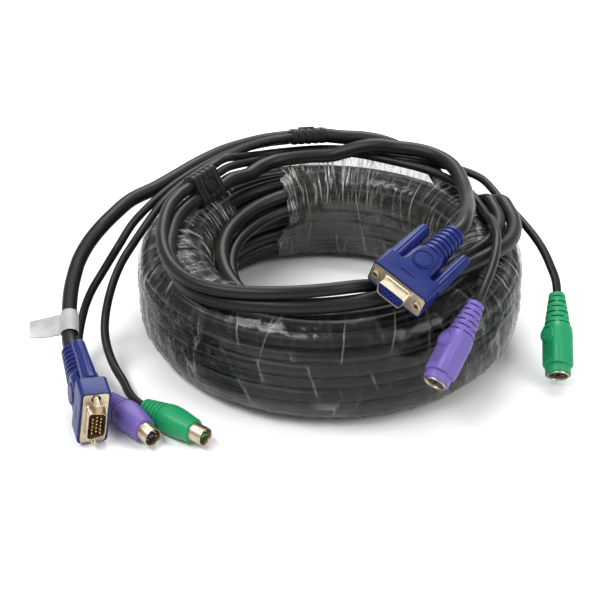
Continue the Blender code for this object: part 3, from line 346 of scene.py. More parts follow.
class Finish:
    """One procedural material under construction."""

    def __init__(self, name, colour, roughness, metallic=0.0, **fixed):
        self.material = bpy.data.materials.new(name)
        self.material.use_nodes = True
        self.nodes = self.material.node_tree.nodes
        self.links = self.material.node_tree.links
        self.surface = self.nodes["Principled BSDF"]
        self.set("Base Color", (*colour, 1.0))
        self.set("Roughness", roughness)
        self.set("Metallic", metallic)
        for socket, value in fixed.items():
            self.set(socket.replace("_", " "), value)

    def set(self, socket, value):
        """Set or link one of the surface's sockets."""
        if isinstance(value, Wire):
            self.links.new(value.socket, self.surface.inputs[socket])
        else:
            self.surface.inputs[socket].default_value = value

    def add(self, kind, output=0, settings=(), **inputs):
        """Add a node, give it its settings and the values or links of its sockets, and return one output."""
        node = self.nodes.new(kind)
        for name, value in dict(settings).items():
            setattr(node, name, value)
        for key, value in inputs.items():
            socket = node.inputs[int(key[1:])] if key[0] == "_" else node.inputs[key.replace("_", " ")]
            if isinstance(value, Wire):
                self.links.new(value.socket, socket)
            else:
                socket.default_value = value
        return Wire(self, node.outputs[output])

    def maths(self, operation, first, second):
        """A Math node."""
        return self.add("ShaderNodeMath", settings={"operation": operation}, _0=first, _1=second)

    def place(self, scale=(1, 1, 1), turn=0.0, attribute=None):
        """Object coordinates, or a named attribute's, through a Mapping node."""
        if attribute is None:
            source = self.add("ShaderNodeTexCoord", output="Object")
        else:
            source = self.add("ShaderNodeUVMap", settings={"uv_map": attribute})
        turned = self.add("ShaderNodeMapping", Vector=source, Rotation=(0, 0, turn))
        return self.add("ShaderNodeMapping", Vector=turned, Scale=scale)

    def noise(self, place, scale, detail=3.0, roughness=0.5):
        """A noise pattern between 0 and 1."""
        return self.add("ShaderNodeTexNoise", Vector=place, Scale=scale, Detail=detail, Roughness=roughness)

    def clamp(self, value, low=0.0, high=1.0):
        """A value held between two limits."""
        return self.add("ShaderNodeClamp", Value=value, Min=low, Max=high)

    def span(self, value, low, high, out_low=0.0, out_high=1.0):
        """A smooth map of a value from one span to another."""
        return self.add(
            "ShaderNodeMapRange", settings={"interpolation_type": "SMOOTHSTEP"}, Value=value, From_Min=low,
            From_Max=high, To_Min=out_low, To_Max=out_high)

    def mix(self, factor, first, second):
        """A colour between two colours."""
        colours = [(*colour, 1.0) if isinstance(colour, tuple) else colour for colour in (first, second)]
        return self.add(
            "ShaderNodeMix", output=2, settings={"data_type": "RGBA"}, _0=factor, _6=colours[0],
            _7=colours[1])

    def bump(self, height, distance, strength=1.0):
        """Bump the surface by a height pattern."""
        self.set("Normal", self.add("ShaderNodeBump", Height=height, Distance=distance, Strength=strength))


def moulded_finish(name, colour, roughness):
    """Satin moulded plastic with a fine spark-eroded grain and faint handling marks."""
    made = Finish(name, colour, roughness, Specular_IOR_Level=0.28)
    place = made.place()
    grain = made.noise(place, 2600.0, detail=2.0)
    cloud = made.noise(place, 90.0, detail=4.0)
    shade = made.span(cloud, 0.3, 0.7, 0.0, 0.22)
    darker = tuple(0.72 * c for c in colour)
    made.set("Base Color", made.mix(shade, colour, darker))
    made.set("Roughness", roughness - 0.06 + 0.12 * cloud)
    made.bump(grain, 0.00006, 0.6)
    return made.material


def jacket_finish(colour):
    """Satin black jacket with a fine grain and a soft, slightly dusty sheen."""
    made = Finish("jacket_pvc", colour, 0.36, Specular_IOR_Level=0.24)
    place = made.place()
    fine = made.noise(place, 1500.0, detail=3.0)
    cloud = made.noise(place, 55.0, detail=5.0, roughness=0.6)
    paler = tuple(1.6 * c for c in colour)
    made.set("Base Color", made.mix(made.span(cloud, 0.4, 0.75, 0.0, 0.6), colour, paler))
    made.set("Roughness", 0.26 + 0.2 * cloud + 0.06 * fine)
    made.bump(fine + 2.0 * cloud, 0.00008, 0.5)
    return made.material


def plated_finish(name, colour, roughness):
    """Plated metal with small scratches and dull patches."""
    made = Finish(name, colour, roughness, metallic=1.0)
    place = made.place()
    cloud = made.noise(place, 260.0, detail=4.0)
    scratch = made.noise(made.place(scale=(1.0, 14.0, 3.0)), 420.0, detail=2.0)
    duller = tuple(0.62 * c for c in colour)
    made.set("Base Color", made.mix(made.span(cloud, 0.42, 0.72, 0.0, 0.55), colour, duller))
    made.set("Roughness", roughness - 0.05 + 0.16 * cloud)
    made.bump(scratch, 0.00003, 0.5)
    return made.material


def label_finish():
    """Bare white label stock, its colour darkened to grey all over as painted shade."""
    # Painted shade: the white stock is given a grey colour.
    made = Finish("label_stock", (0.34, 0.34, 0.34), 0.32)
    place = made.place()
    fibre = made.noise(place, 900.0, detail=4.0)
    cloud = made.noise(place, 120.0)
    made.set("Base Color", made.mix(made.span(cloud, 0.35, 0.7), (0.37, 0.37, 0.365), (0.30, 0.30, 0.30)))
    made.bump(fibre, 0.00004, 0.4)
    return made.material


def film_finish(settings):
    """Clear stretch film: dense creases across the coil, a few long ones, gathered layers and gloss. The
    creases' pale lines are partly the creases' own paleness and partly painted highlight.
    """
    tint = tuple(settings.tint)
    made = Finish("stretch_film_clear", tint, 0.10, Specular_IOR_Level=0.75)
    fine = made.noise(made.place((1.0, 0.09, 1.0), 0.05, "wrap"), 820.0, detail=1.0)
    broad = made.noise(made.place((1.0, 0.08, 1.0), -0.16, "wrap"), 400.0, detail=1.0)
    zones = made.noise(made.place((1.0, 0.7, 1.0), 0.3, "wrap"), 36.0, detail=1.0)
    clouds = made.noise(made.place((1.0, 0.5, 1.0), 0.1, "wrap"), 130.0, detail=3.0)
    gathered = made.add("ShaderNodeAttribute", output="Fac", settings={"attribute_name": "gathered"})
    crinkled = made.add("ShaderNodeAttribute", output="Fac", settings={"attribute_name": "crinkled"})
    streaks = made.span(fine, 0.52, 0.68) * (0.05 + 0.90 * crinkled) * made.span(clouds, 0.34, 0.56)
    streaks = streaks + made.span(broad, 0.54, 0.68) * (0.06 + 0.6 * crinkled)
    folds = 0.0
    for turn, size, where in ((-0.30, 46.0, 0.50), (0.22, 58.0, 0.54)):
        cells = made.add(
            "ShaderNodeTexVoronoi", settings={"voronoi_dimensions": "2D", "feature": "DISTANCE_TO_EDGE"},
            Vector=made.place((1.0, 0.14, 1.0), turn, "wrap"), Scale=size)
        breaks = made.noise(made.place((1.0, 0.5, 1.0), turn, "wrap"), 60.0, detail=0.0)
        folds = folds + made.span(cells, 0.030, 0.008) * made.span(breaks, where, where + 0.12)
    lines = made.clamp(0.85 * streaks + 0.30 * folds)
    # The gathered layers' taupe is partly stacked film and partly painted reflection at the coil's left and
    # right sides.
    layers = gathered * (0.34 + 0.40 * clouds + 0.16 * broad)
    veil = settings.density + 0.60 * lines + 0.62 * layers
    made.set("Alpha", made.clamp(veil, 0.02, 0.93))
    # The crease lines' pale colour is partly the creases' own paleness and partly painted highlight, standing
    # in for glints of light on the wrinkles.
    pale = tuple(min(1.0, 1.9 * c + 0.32) for c in tint)
    dark = tuple(0.05 * c for c in tint)
    ground = made.mix(made.clamp(1.1 * layers), dark, tint)
    made.set("Base Color", made.mix(lines, ground, pale))
    made.set("Roughness", 0.13 + 0.15 * made.span(zones, 0.35, 0.7) + 0.08 * crinkled)
    made.bump(0.5 * broad * (0.12 + crinkled) + 0.4 * zones + 0.2 * folds, 0.0008, 0.6)
    return made.material


def facing_frame(at, faces, side):
    """Frame whose origin is at a point in mm, whose Z points the way it faces and whose X is its side."""
    z_axis = Vector(faces).normalized()
    x_axis = Vector(side)
    x_axis = (x_axis - z_axis * x_axis.dot(z_axis)).normalized()
    y_axis = z_axis.cross(x_axis)
    rotation = Matrix((x_axis, y_axis, z_axis)).transposed().to_4x4()
    return Matrix.Translation(Vector(at) * MM) @ rotation


def upright_frame(at, faces, roll):
    """Frame of a round connector, whose Y is its upper side, rolled to the left by some degrees."""
    upright = facing_frame(at, faces, Vector(UPWARDS).cross(Vector(faces)))
    return upright @ Matrix.Rotation(math.radians(roll), 4, "Z")


def rounded_outline(length, width, radius, corner_steps):
    """Points of a rounded rectangle in X and Y, counter-clockwise."""
    points = []
    for corner, (sign_x, sign_y) in enumerate(((1, 1), (-1, 1), (-1, -1), (1, -1))):
        centre_x = sign_x * (length / 2 - radius)
        centre_y = sign_y * (width / 2 - radius)
        for step in range(corner_steps + 1):
            angle = math.radians(90 * (corner + step / corner_steps))
            points.append((centre_x + radius * math.cos(angle), centre_y + radius * math.sin(angle)))
    return points


def circle_outline(radius, sides):
    """Points of a circle in X and Y, counter-clockwise."""
    angles = [math.tau * step / sides for step in range(sides)]
    return [(radius * math.cos(angle), radius * math.sin(angle)) for angle in angles]


def d_outline(length, width, corner_steps=6):
    """Points of the D shape with round corners: the side at +Y is the longer one."""
    slant = math.tan(math.radians(SHELL_SLANT)) * width / 2
    corners = [
        Vector((length / 2, width / 2)), Vector((-length / 2, width / 2)),
        Vector((-length / 2 + 2 * slant, -width / 2)), Vector((length / 2 - 2 * slant, -width / 2)),
    ]
    points = []
    for index, corner in enumerate(corners):
        before = corner + (corners[index - 1] - corner).normalized() * SHELL_CORNER_RADIUS
        after = corner + (corners[(index + 1) % 4] - corner).normalized() * SHELL_CORNER_RADIUS
        for step in range(corner_steps + 1):
            share = step / corner_steps
            points.append(tuple(before.lerp(corner, share).lerp(corner.lerp(after, share), share)))
    return points


def lifted(outline, height):
    """An outline moved to a height along Z."""
    return [(x, y, height) for x, y in outline]


def add_ring(bm, points):
    """A closed loop of edges through some points."""
    verts = [bm.verts.new(point) for point in points]
    return [bm.edges.new((before, after)) for before, after in zip(verts, verts[1:] + verts[:1])]


def skin(bm, sections, first_cap=True, last_cap=True):
    """Bridge rings of points into one skin and close its ends."""
    rings = [add_ring(bm, section) for section in sections]
    for lower, upper in zip(rings, rings[1:]):
        bmesh.ops.bridge_loops(bm, edges=lower + upper)
    ends = [ring for ring, wanted in ((rings[0], first_cap), (rings[-1], last_cap)) if wanted]
    for ring in ends:
        bmesh.ops.contextual_create(bm, geom=ring)
    return rings


def turn_profile(bm, profile, steps):
    """Spin a profile of (radius, height) round Z; ends on the axis close into poles."""
    verts = [bm.verts.new((radius, 0, height)) for radius, height in profile]
    edges = [bm.edges.new(pair) for pair in zip(verts, verts[1:])]
    bmesh.ops.spin(
        bm, geom=verts + edges, cent=(0, 0, 0), axis=(0, 0, 1), angle=math.tau, steps=steps, use_merge=True)
    bmesh.ops.remove_doubles(bm, verts=bm.verts, dist=0.000005)


def soften(bm, width, segments=2, angle=35):
    """Bevel the edges that turn by more than an angle."""
    limit = math.radians(angle)
    sharp = [e for e in bm.edges if e.is_manifold and e.calc_face_angle(0.0) > limit]
    bmesh.ops.bevel(
        bm, geom=sharp, offset=width, segments=segments, affect="EDGES", profile=0.5, material=-1,
        clamp_overlap=True)


def join(target, part, matrix=None):
    """Put a finished bmesh into another one, moved by a matrix, and free it."""
    if matrix is not None:
        bmesh.ops.transform(part, matrix=matrix, verts=part.verts)
    bmesh.ops.recalc_face_normals(part, faces=part.faces)
    mesh = bpy.data.meshes.new("part")
    part.to_mesh(mesh)
    part.free()
    target.from_mesh(mesh)
    bpy.data.meshes.remove(mesh)


def join_skin(target, sections):
    """Skin rings that are given from the front backwards, and put the result into a bmesh."""
    part = bmesh.new()
    skin(part, sections[::-1])
    join(target, part)


def prism(outline, bottom, top, bevel=0.0):
    """A straight block with an outline, between two heights, with softened edges if it has a bevel."""
    bm = bmesh.new()
    skin(bm, [lifted(outline, bottom), lifted(outline, top)])
    if bevel:
        soften(bm, bevel, angle=60)
    return bm


def upright_at(setback):
    """Matrix that stands a boss built along Z on a connector's upper side, back from its front."""
    return Matrix.Translation((0, 0, -setback)) @ Matrix.Rotation(math.radians(-90), 4, "X")


def settle(piece, nodes, body):
    """Link a piece, ride it on its body, and hide the CAD nodes that it stands for."""
    bpy.context.collection.objects.link(piece)
    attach(piece, body)
    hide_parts(*nodes)
    return piece


def new_piece(name, bm, look, nodes=(), at=None, body=BODY, smooth=40):
    """Finish a bmesh, built in a frame, as a piece at the origin with one of the looks."""
    if at is not None:
        bmesh.ops.transform(bm, matrix=at, verts=bm.verts)
    mesh = bpy.data.meshes.new(name)
    bm.to_mesh(mesh)
    bm.free()
    mesh.shade_smooth()
    mesh.set_sharp_from_angle(angle=math.radians(smooth))
    mesh.materials.append(finish(look))
    return settle(bpy.data.objects.new(name, mesh), nodes, body)


def smooth_route(points, spacing):
    """Points in metres along a centripetal Catmull-Rom curve through a route in mm, evenly spaced."""
    knots = [Vector(point) * MM for point in points]
    padded = [knots[0] * 2 - knots[1]] + knots + [knots[-1] * 2 - knots[-2]]
    dense = []
    for p0, p1, p2, p3 in zip(padded, padded[1:], padded[2:], padded[3:]):
        t1 = (p1 - p0).length ** 0.5
        t2 = t1 + (p2 - p1).length ** 0.5
        t3 = t2 + (p3 - p2).length ** 0.5
        steps = max(2, math.ceil((p2 - p1).length / spacing))
        for step in range(steps):
            t = t1 + (t2 - t1) * step / steps
            a1 = p0.lerp(p1, t / t1)
            a2 = p1.lerp(p2, (t - t1) / (t2 - t1))
            a3 = p2.lerp(p3, (t - t2) / (t3 - t2))
            b1 = a1.lerp(a2, t / t2)
            b2 = a2.lerp(a3, (t - t1) / (t3 - t1))
            dense.append(b1.lerp(b2, (t - t1) / (t2 - t1)))
    dense.append(knots[-1])
    return dense


def reach_in(points, reach):
    """A line of points with both ends carried on straight, into the mouldings that hold them."""
    first = points[0] + (points[0] - points[1]).normalized() * reach
    last = points[-1] + (points[-1] - points[-2]).normalized() * reach
    return [first] + points + [last]


def new_cord(name, points, diameter, nodes):
    """A round cord along a line of points, with filled ends."""
    curve = bpy.data.curves.new(name, "CURVE")
    curve.dimensions = "3D"
    curve.bevel_depth = diameter / 2
    curve.bevel_resolution = 6
    curve.use_fill_caps = True
    spline = curve.splines.new("POLY")
    spline.points.add(len(points) - 1)
    for knot, point in zip(spline.points, points):
        knot.co = (*point, 1.0)
    spline.use_smooth = True
    curve.materials.append(finish("jacket"))
    return settle(bpy.data.objects.new(name, curve), nodes, BODY)


def section_outline(inset, steps=24):
    """The coil's section, set in from its outside, in mm, as (radius, height) from the outer side upwards."""
    radial = (COIL_OUTER_RADIUS - COIL_INNER_RADIUS) / MM
    middle = (COIL_OUTER_RADIUS + COIL_INNER_RADIUS) / 2 / MM
    height = COIL_HEIGHT / MM
    corner = max(0.6, COIL_CORNER_RADIUS / MM - inset)
    outline = rounded_outline(radial - 2 * inset, height - 2 * inset, corner, steps)
    return [Vector((middle + x, height / 2 + y)) for x, y in outline]


def place_on(outline, share):
    """The corner before a share of a closed outline's length, and how far it lies beyond that corner."""
    lengths = [(b - a).length for a, b in zip(outline, outline[1:] + outline[:1])]
    reach = (share % 1.0) * sum(lengths)
    for index, length in enumerate(lengths):
        if reach <= length:
            return index, reach / length
        reach -= length
    return 0, 0.0


def along(outline, share):
    """The point at a share of a closed outline's length."""
    index, part = place_on(outline, share)
    return outline[index].lerp(outline[(index + 1) % len(outline)], part)


def section_chain():
    """The strands' path through the section: round it once under the film, then inwards layer by layer."""
    points = []
    outlines = {}
    for step in range(CHAIN_STEPS + 1):
        turn = LAYERS * step / CHAIN_STEPS
        layer = int(turn)
        ramp = max(0.0, (turn - layer - 0.8) / 0.2)
        inset = STRAND_INSET + LAYER_PITCH * (layer + ramp * ramp * (3 - 2 * ramp))
        key = round(min(inset, CORE_INSET), 1)
        if key not in outlines:
            outlines[key] = section_outline(key)
        points.append(along(outlines[key], CHAIN_STARTS - turn))
    return points


def at_distance(line, distance):
    """The point at a distance along an open line."""
    for before, after in zip(line, line[1:]):
        length = (after - before).length
        if distance <= length:
            return before.lerp(after, distance / length)
        distance -= length
    return line[-1]


def coiled_points(lag):
    """One strand's turns under the film, clockwise from the plug end; each moves on by a pair's pitch."""
    chain = section_chain()
    points = []
    for step in range(TURNS * TURN_STEPS + 1):
        turn = step / TURN_STEPS
        place = at_distance(chain, lag + PAIR_PITCH * turn)
        points.append(on_coil(FIRST_TURN_AT - 360 * turn, place.x, place.y))
    return points


def chosen(field):
    """A colour from the connectors' settings."""
    return tuple(getattr(bpy.context.scene.cable_connectors, field))


# Each look's material slot and the function that makes its material
LOOKS = {
    "jacket": ("jacket", lambda: jacket_finish(tuple(bpy.context.scene.cable_coil.jacket_colour))),
    "film": ("film", lambda: film_finish(bpy.context.scene.cable_film)),
    "video_plastic": ("blue_plastic", lambda: moulded_finish("video_plastic", chosen("video_colour"), 0.38)),
    "keyboard_plastic": (
        "purple_plastic", lambda: moulded_finish("keyboard_plastic", chosen("keyboard_colour"), 0.38)),
    "mouse_plastic": ("green_plastic", lambda: moulded_finish("mouse_plastic", chosen("mouse_colour"), 0.38)),
    "contact_black": ("black_plastic", lambda: moulded_finish("contact_black", (0.010, 0.010, 0.011), 0.42)),
    "keyboard_insert_plastic": (
        "dark_purple_plastic",
        lambda: moulded_finish("keyboard_insert_plastic", (0.060, 0.050, 0.110), 0.42)),
    "bright_nickel": ("nickel", lambda: plated_finish("bright_nickel", (0.56, 0.47, 0.35), 0.33)),
    "gold_flash": ("nickel", lambda: plated_finish("gold_flash", chosen("contact_colour"), 0.28)),
    "label_stock": ("label_paper", label_finish),
}
MADE = {}


def finish(look):
    """A look's material, made when it is first asked for."""
    if look not in MADE:
        MADE[look] = LOOKS[look][1]()
    return MADE[look]


def filled_face(bm, loops, height, depth):
    """A flat face at a height with holes in it, and the walls of its outline and holes down by a depth."""
    rings = [add_ring(bm, lifted(loop, height)) for loop in loops]
    edges = [edge for ring in rings for edge in ring]
    bmesh.ops.triangle_fill(bm, edges=edges, use_beauty=True, use_dissolve=False, normal=(0, 0, 1))
    deep = []
    for ring in rings:
        made = bmesh.ops.extrude_edge_only(bm, edges=ring)["geom"]
        verts = [item for item in made if isinstance(item, bmesh.types.BMVert)]
        bmesh.ops.translate(bm, verts=verts, vec=(0, 0, -depth))
        deep.append([item for item in made if isinstance(item, bmesh.types.BMEdge)])
    return deep


def moved(outline, x, y):
    """An outline moved in X and Y."""
    return [(px + x, py + y) for px, py in outline]


def ribbed_relief(start, end, start_radius, end_radius, ribs, depth, bridges=0, sides=48):
    """Rings of a ribbed strain relief that narrows towards its cord; bridges cross its grooves if wanted."""
    sections = []
    for rib in range(ribs):
        for part, sunk in ((0.0, 1.0), (0.24, 1.0), (0.28, 0.15), (0.36, 0.0), (0.88, 0.0), (0.96, 0.15)):
            share = (rib + part) / ribs
            height = start + (end - start) * share
            ring = []
            for step in range(sides):
                turn = (bridges * step / sides + 0.5 * (rib % 2)) % 1.0
                bridged = bridges > 0 and abs(turn - 0.5) < 0.16
                radius = start_radius + (end_radius - start_radius) * share - (0 if bridged else depth * sunk)
                angle = math.tau * step / sides
                ring.append((radius * math.cos(angle), radius * math.sin(angle), height))
            sections.append(ring)
    sections.append(lifted(circle_outline(end_radius - 0.3 * MM, sides), end))
    return sections


def round_boss(radius, bottom, top):
    """A domed round boss in a shallow ring groove, standing along Z."""
    bm = bmesh.new()
    rise = top - bottom
    shape = (
        (0.0, 0.0), (0.55, 0.04), (0.78, 0.14), (0.84, 0.5), (0.88, 0.5), (0.91, 0.1), (0.97, 0.1),
        (1.0, 0.3))
    profile = [(radius * out, top - rise * down) for out, down in shape] + [(radius, bottom - rise)]
    turn_profile(bm, profile, 48)
    return bm


def lead_frames():
    """Frames of the six connectors."""
    frames = {name: facing_frame(*place) for name, place in VIDEO_PLACES.items()}
    frames.update({name: upright_frame(*place) for name, place in ROUND_PLACES.items()})
    return frames


def video_hood():
    """The moulded hood: block with a rim round the flange, waist with a boss, and ribbed relief."""
    whole = bmesh.new()
    length, width = HOOD_SIZE
    front = -FLANGE[2] - 0.3 * MM
    rear = front - HOOD_BLOCK_DEPTH
    block = bmesh.new()
    outline = rounded_outline(length, width, 2.2 * MM, 8)
    inside = rounded_outline(FLANGE[0] + 0.5 * MM, FLANGE[1] + 0.5 * MM, 1.8 * MM, 8)
    skin(block, [
        lifted(outline, rear), lifted(outline, -HOOD_RIM_BACK), lifted(inside, -HOOD_RIM_BACK),
        lifted(inside, front)])
    for side in (-1, 1):
        top = max(block.faces, key=lambda face: side * face.calc_center_median().y)
        press_slot(block, top, 8.6 * MM, 0.9 * MM, 0.5 * MM)
    soften(block, 0.45 * MM, segments=3, angle=60)
    join(whole, block)
    sections = []
    for height, wide, tall, corner in (
            (-11.4, 21.0, 14.9, 2.2), (-12.4, 18.4, 14.85, 2.2), (-13.6, 17.0, 14.7, 2.3),
            (-15.5, 16.4, 14.6, 2.5), (-21.0, 16.3, 14.55, 2.7), (-25.0, 16.0, 14.4, 3.6),
            (-27.2, 15.6, 14.2, 5.2), (-28.0, 15.0, 13.9, 6.0), (-28.4, 13.8, 13.4, 6.4)):
        outline = rounded_outline(wide * MM, tall * MM, corner * MM, BODY_CORNER_STEPS)
        sections.append(lifted(outline, height * MM))
    join_skin(whole, sections)
    join_skin(whole, ribbed_relief(-27.6 * MM, -HOOD_TOTAL, 7.5 * MM, 5.7 * MM, 7, 0.75 * MM))
    boss = round_boss(5.5 * MM, HOOD_WAIST_WIDTH / 2 - 0.2 * MM, HOOD_WAIST_WIDTH / 2 + 0.8 * MM)
    join(whole, boss, upright_at(HOOD_BOSS_SETBACK))
    return whole


def press_slot(bm, face, length, width, depth):
    """Press a narrow slot into the middle of a flat face that runs along X."""
    bmesh.ops.inset_region(bm, faces=[face], thickness=2.5 * MM, use_even_offset=True)
    centre = face.calc_center_median()
    xs = [vert.co.x for vert in face.verts]
    zs = [vert.co.z for vert in face.verts]
    size = (length / (max(xs) - min(xs)), 1, width / (max(zs) - min(zs)))
    bmesh.ops.scale(bm, verts=face.verts, vec=size, space=Matrix.Translation(-centre))
    bmesh.ops.inset_region(bm, faces=[face], thickness=0.06 * MM, depth=-depth)


def video_shell(size):
    """The stamped flange with its rolled D shroud and its two screw holes."""
    whole = bmesh.new()
    length, width = size
    plate = bmesh.new()
    outline = rounded_outline(FLANGE[0], FLANGE[1], 1.6 * MM, 5)
    hole = list(reversed(circle_outline(2.35 * MM, 24)))
    loops = [outline] + [moved(hole, side * SCREW_SPACING / 2, 0) for side in (-1, 1)]
    filled_face(plate, loops, 0, FLANGE[2])
    join(whole, plate)
    shroud = bmesh.new()
    rings = []
    for grow, height in (
            (1.3, -0.1), (0.9, 0.12), (0.35, 0.5), (0.0, 1.1), (0.0, 5.5), (-0.12, 5.75), (-0.5, 5.8),
            (-0.9, 5.65), (-1.0, 5.4), (-1.0, -0.3)):
        rings.append(lifted(d_outline(length + grow * MM, width + grow * MM), height * MM))
    made = skin(shroud, rings, first_cap=False, last_cap=False)
    bmesh.ops.bridge_loops(shroud, edges=made[-1] + made[0])
    join(whole, shroud)
    return whole


def contact_places():
    """Centres of the fifteen contacts, in three rows of five, the middle row shifted by half a pitch."""
    return [
        ((column - 2.25 + (0.5 if row == 0 else 0.0)) * CONTACT_PITCH, row * CONTACT_ROW_PITCH)
        for row in (-1, 0, 1) for column in range(5)]


def round_contact_places():
    """Centres of the six contacts: three pairs, open towards the key."""
    angles = [math.radians(angle) for angle in (28, 62, 118, 152, 200, 340)]
    return [(2.7 * MM * math.cos(angle), 2.7 * MM * math.sin(angle)) for angle in angles]


def pins(places, radius, bottom, top):
    """Round pins with domed ends."""
    whole = bmesh.new()
    for x, y in places:
        pin = bmesh.new()
        turn_profile(pin, [
            (radius, bottom), (radius, top - radius * 0.8), (radius * 0.75, top - radius * 0.25),
            (radius * 0.4, top), (0, top)], 16)
        join(whole, pin, Matrix.Translation((x, y, 0)))
    return whole


def perforated(outline, holes, top, bottom, depth):
    """A block with blind holes in its front face."""
    bm = bmesh.new()
    loops = [outline] + [list(reversed(hole)) for hole in holes]
    deep = filled_face(bm, loops, top, depth)
    for ring in deep[1:]:
        bmesh.ops.contextual_create(bm, geom=ring)
    verts = list({vert for edge in deep[0] for vert in edge.verts})
    bmesh.ops.translate(bm, verts=verts, vec=(0, 0, bottom - top + depth))
    bmesh.ops.contextual_create(bm, geom=deep[0])
    return bm


def knob():
    """A long thumb knob: it narrows towards its end and has shallow flutes."""
    bm = bmesh.new()
    front = -(FLANGE[2] + 0.3 * MM + HOOD_BLOCK_DEPTH + 0.35 * MM)
    rings = []
    for height, radius, flute in (
            (front, 3.6, 0), (front - 0.5 * MM, 4.05, 0), (-15.0 * MM, 4.05, 0), (-16.0 * MM, 4.0, 0.3),
            (-24.0 * MM, 3.8, 0.35), (-32.0 * MM, 3.5, 0.35), (-39.6 * MM, 3.3, 0.3), (-40.6 * MM, 3.25, 0),
            (-41.6 * MM, 3.0, 0), (-42.0 * MM, 2.5, 0)):
        ring = []
        for step in range(96):
            angle = math.tau * step / 96
            reach = (radius - flute * max(0.0, math.cos(8 * angle)) ** 0.7) * MM
            ring.append((reach * math.cos(angle), reach * math.sin(angle), height))
        rings.append(ring)
    skin(bm, rings[::-1])
    return bm


def threaded(radius, pitch, bottom, top, bore=None):
    """A shank with thread ridges down to the flange, plain inside the hood, and a bore if it has one."""
    bm = bmesh.new()
    profile = [(0, bottom), (radius * 0.86, bottom), (radius * 0.86, -1.5 * MM)]
    height = -1.5 * MM
    while height < top - 2 * pitch:
        profile += [(radius * 0.84, height + 0.1 * pitch), (radius, height + 0.5 * pitch)]
        height += pitch
    profile += [(radius * 0.84, height + 0.1 * pitch), (radius * 0.95, top - 0.25 * MM), (radius * 0.8, top)]
    if bore is None:
        profile.append((0, top))
    else:
        profile += [(bore, top), (bore, top - 5.0 * MM), (0, top - 5.0 * MM)]
    turn_profile(bm, profile, 32)
    return bm


def hex_sleeve():
    """The hexagonal nut that a plug's screw turns into, open at its front end."""
    whole = bmesh.new()
    head = bmesh.new()
    outline = circle_outline(2.45 * MM, 6)
    hole = list(reversed(circle_outline(1.35 * MM, 24)))
    filled_face(head, [outline, hole], 1.2 * MM, 2.2 * MM)
    soften(head, 0.12 * MM, segments=2, angle=40)
    join(whole, head)
    join(whole, threaded(1.9 * MM, 0.5 * MM, -18 * MM, 0.2 * MM, bore=1.25 * MM))
    return whole


def add_video_connector(name, sides, size):
    """A fifteen-way connector's pieces; its knobs, on two sides, turn with their screws or nuts."""
    at = lead_frames()[name]
    plug = name == "video_plug"
    new_piece(name + "_hood_moulding", video_hood(), "video_plastic", [name + "_hood"], at)
    new_piece(name + "_flange", video_shell(size), "bright_nickel", [name + "_shell"], at)
    outline = d_outline(size[0] - 1.3 * MM, size[1] - 1.3 * MM)
    if plug:
        block = prism(outline, -1.0 * MM, 0.6 * MM, 0.15 * MM)
        new_piece(name + "_contact_block", block, "contact_black", [name + "_insert"], at)
        contacts = pins(contact_places(), 0.42 * MM, 0.3 * MM, 5.2 * MM)
        new_piece(name + "_pins", contacts, "gold_flash", at=at)
    else:
        holes = [moved(circle_outline(0.5 * MM, 16), x, y) for x, y in contact_places()]
        block = perforated(outline, holes, 5.3 * MM, -1.0 * MM, 3.0 * MM)
        new_piece(name + "_contact_block", block, "video_plastic", [name + "_insert"], at)
    for side, word in sides.items():
        at_side = at @ Matrix.Translation((side * SCREW_SPACING / 2, 0, 0))
        body = name.split("_")[1] + "_knob_" + word
        grip = knob()
        new_piece(f"{name}_thumb_knob_{word}", grip, "video_plastic", [f"{name}_knob_{word}"], at_side, body)
        if plug:
            shank = threaded(1.4 * MM, 0.5 * MM, -18 * MM, 4.6 * MM)
            node = f"{name}_screw_{word}"
        else:
            shank = hex_sleeve()
            node = f"{name}_nut_{word}"
        new_piece(node + "_threaded", shank, "bright_nickel", [node], at_side, body)


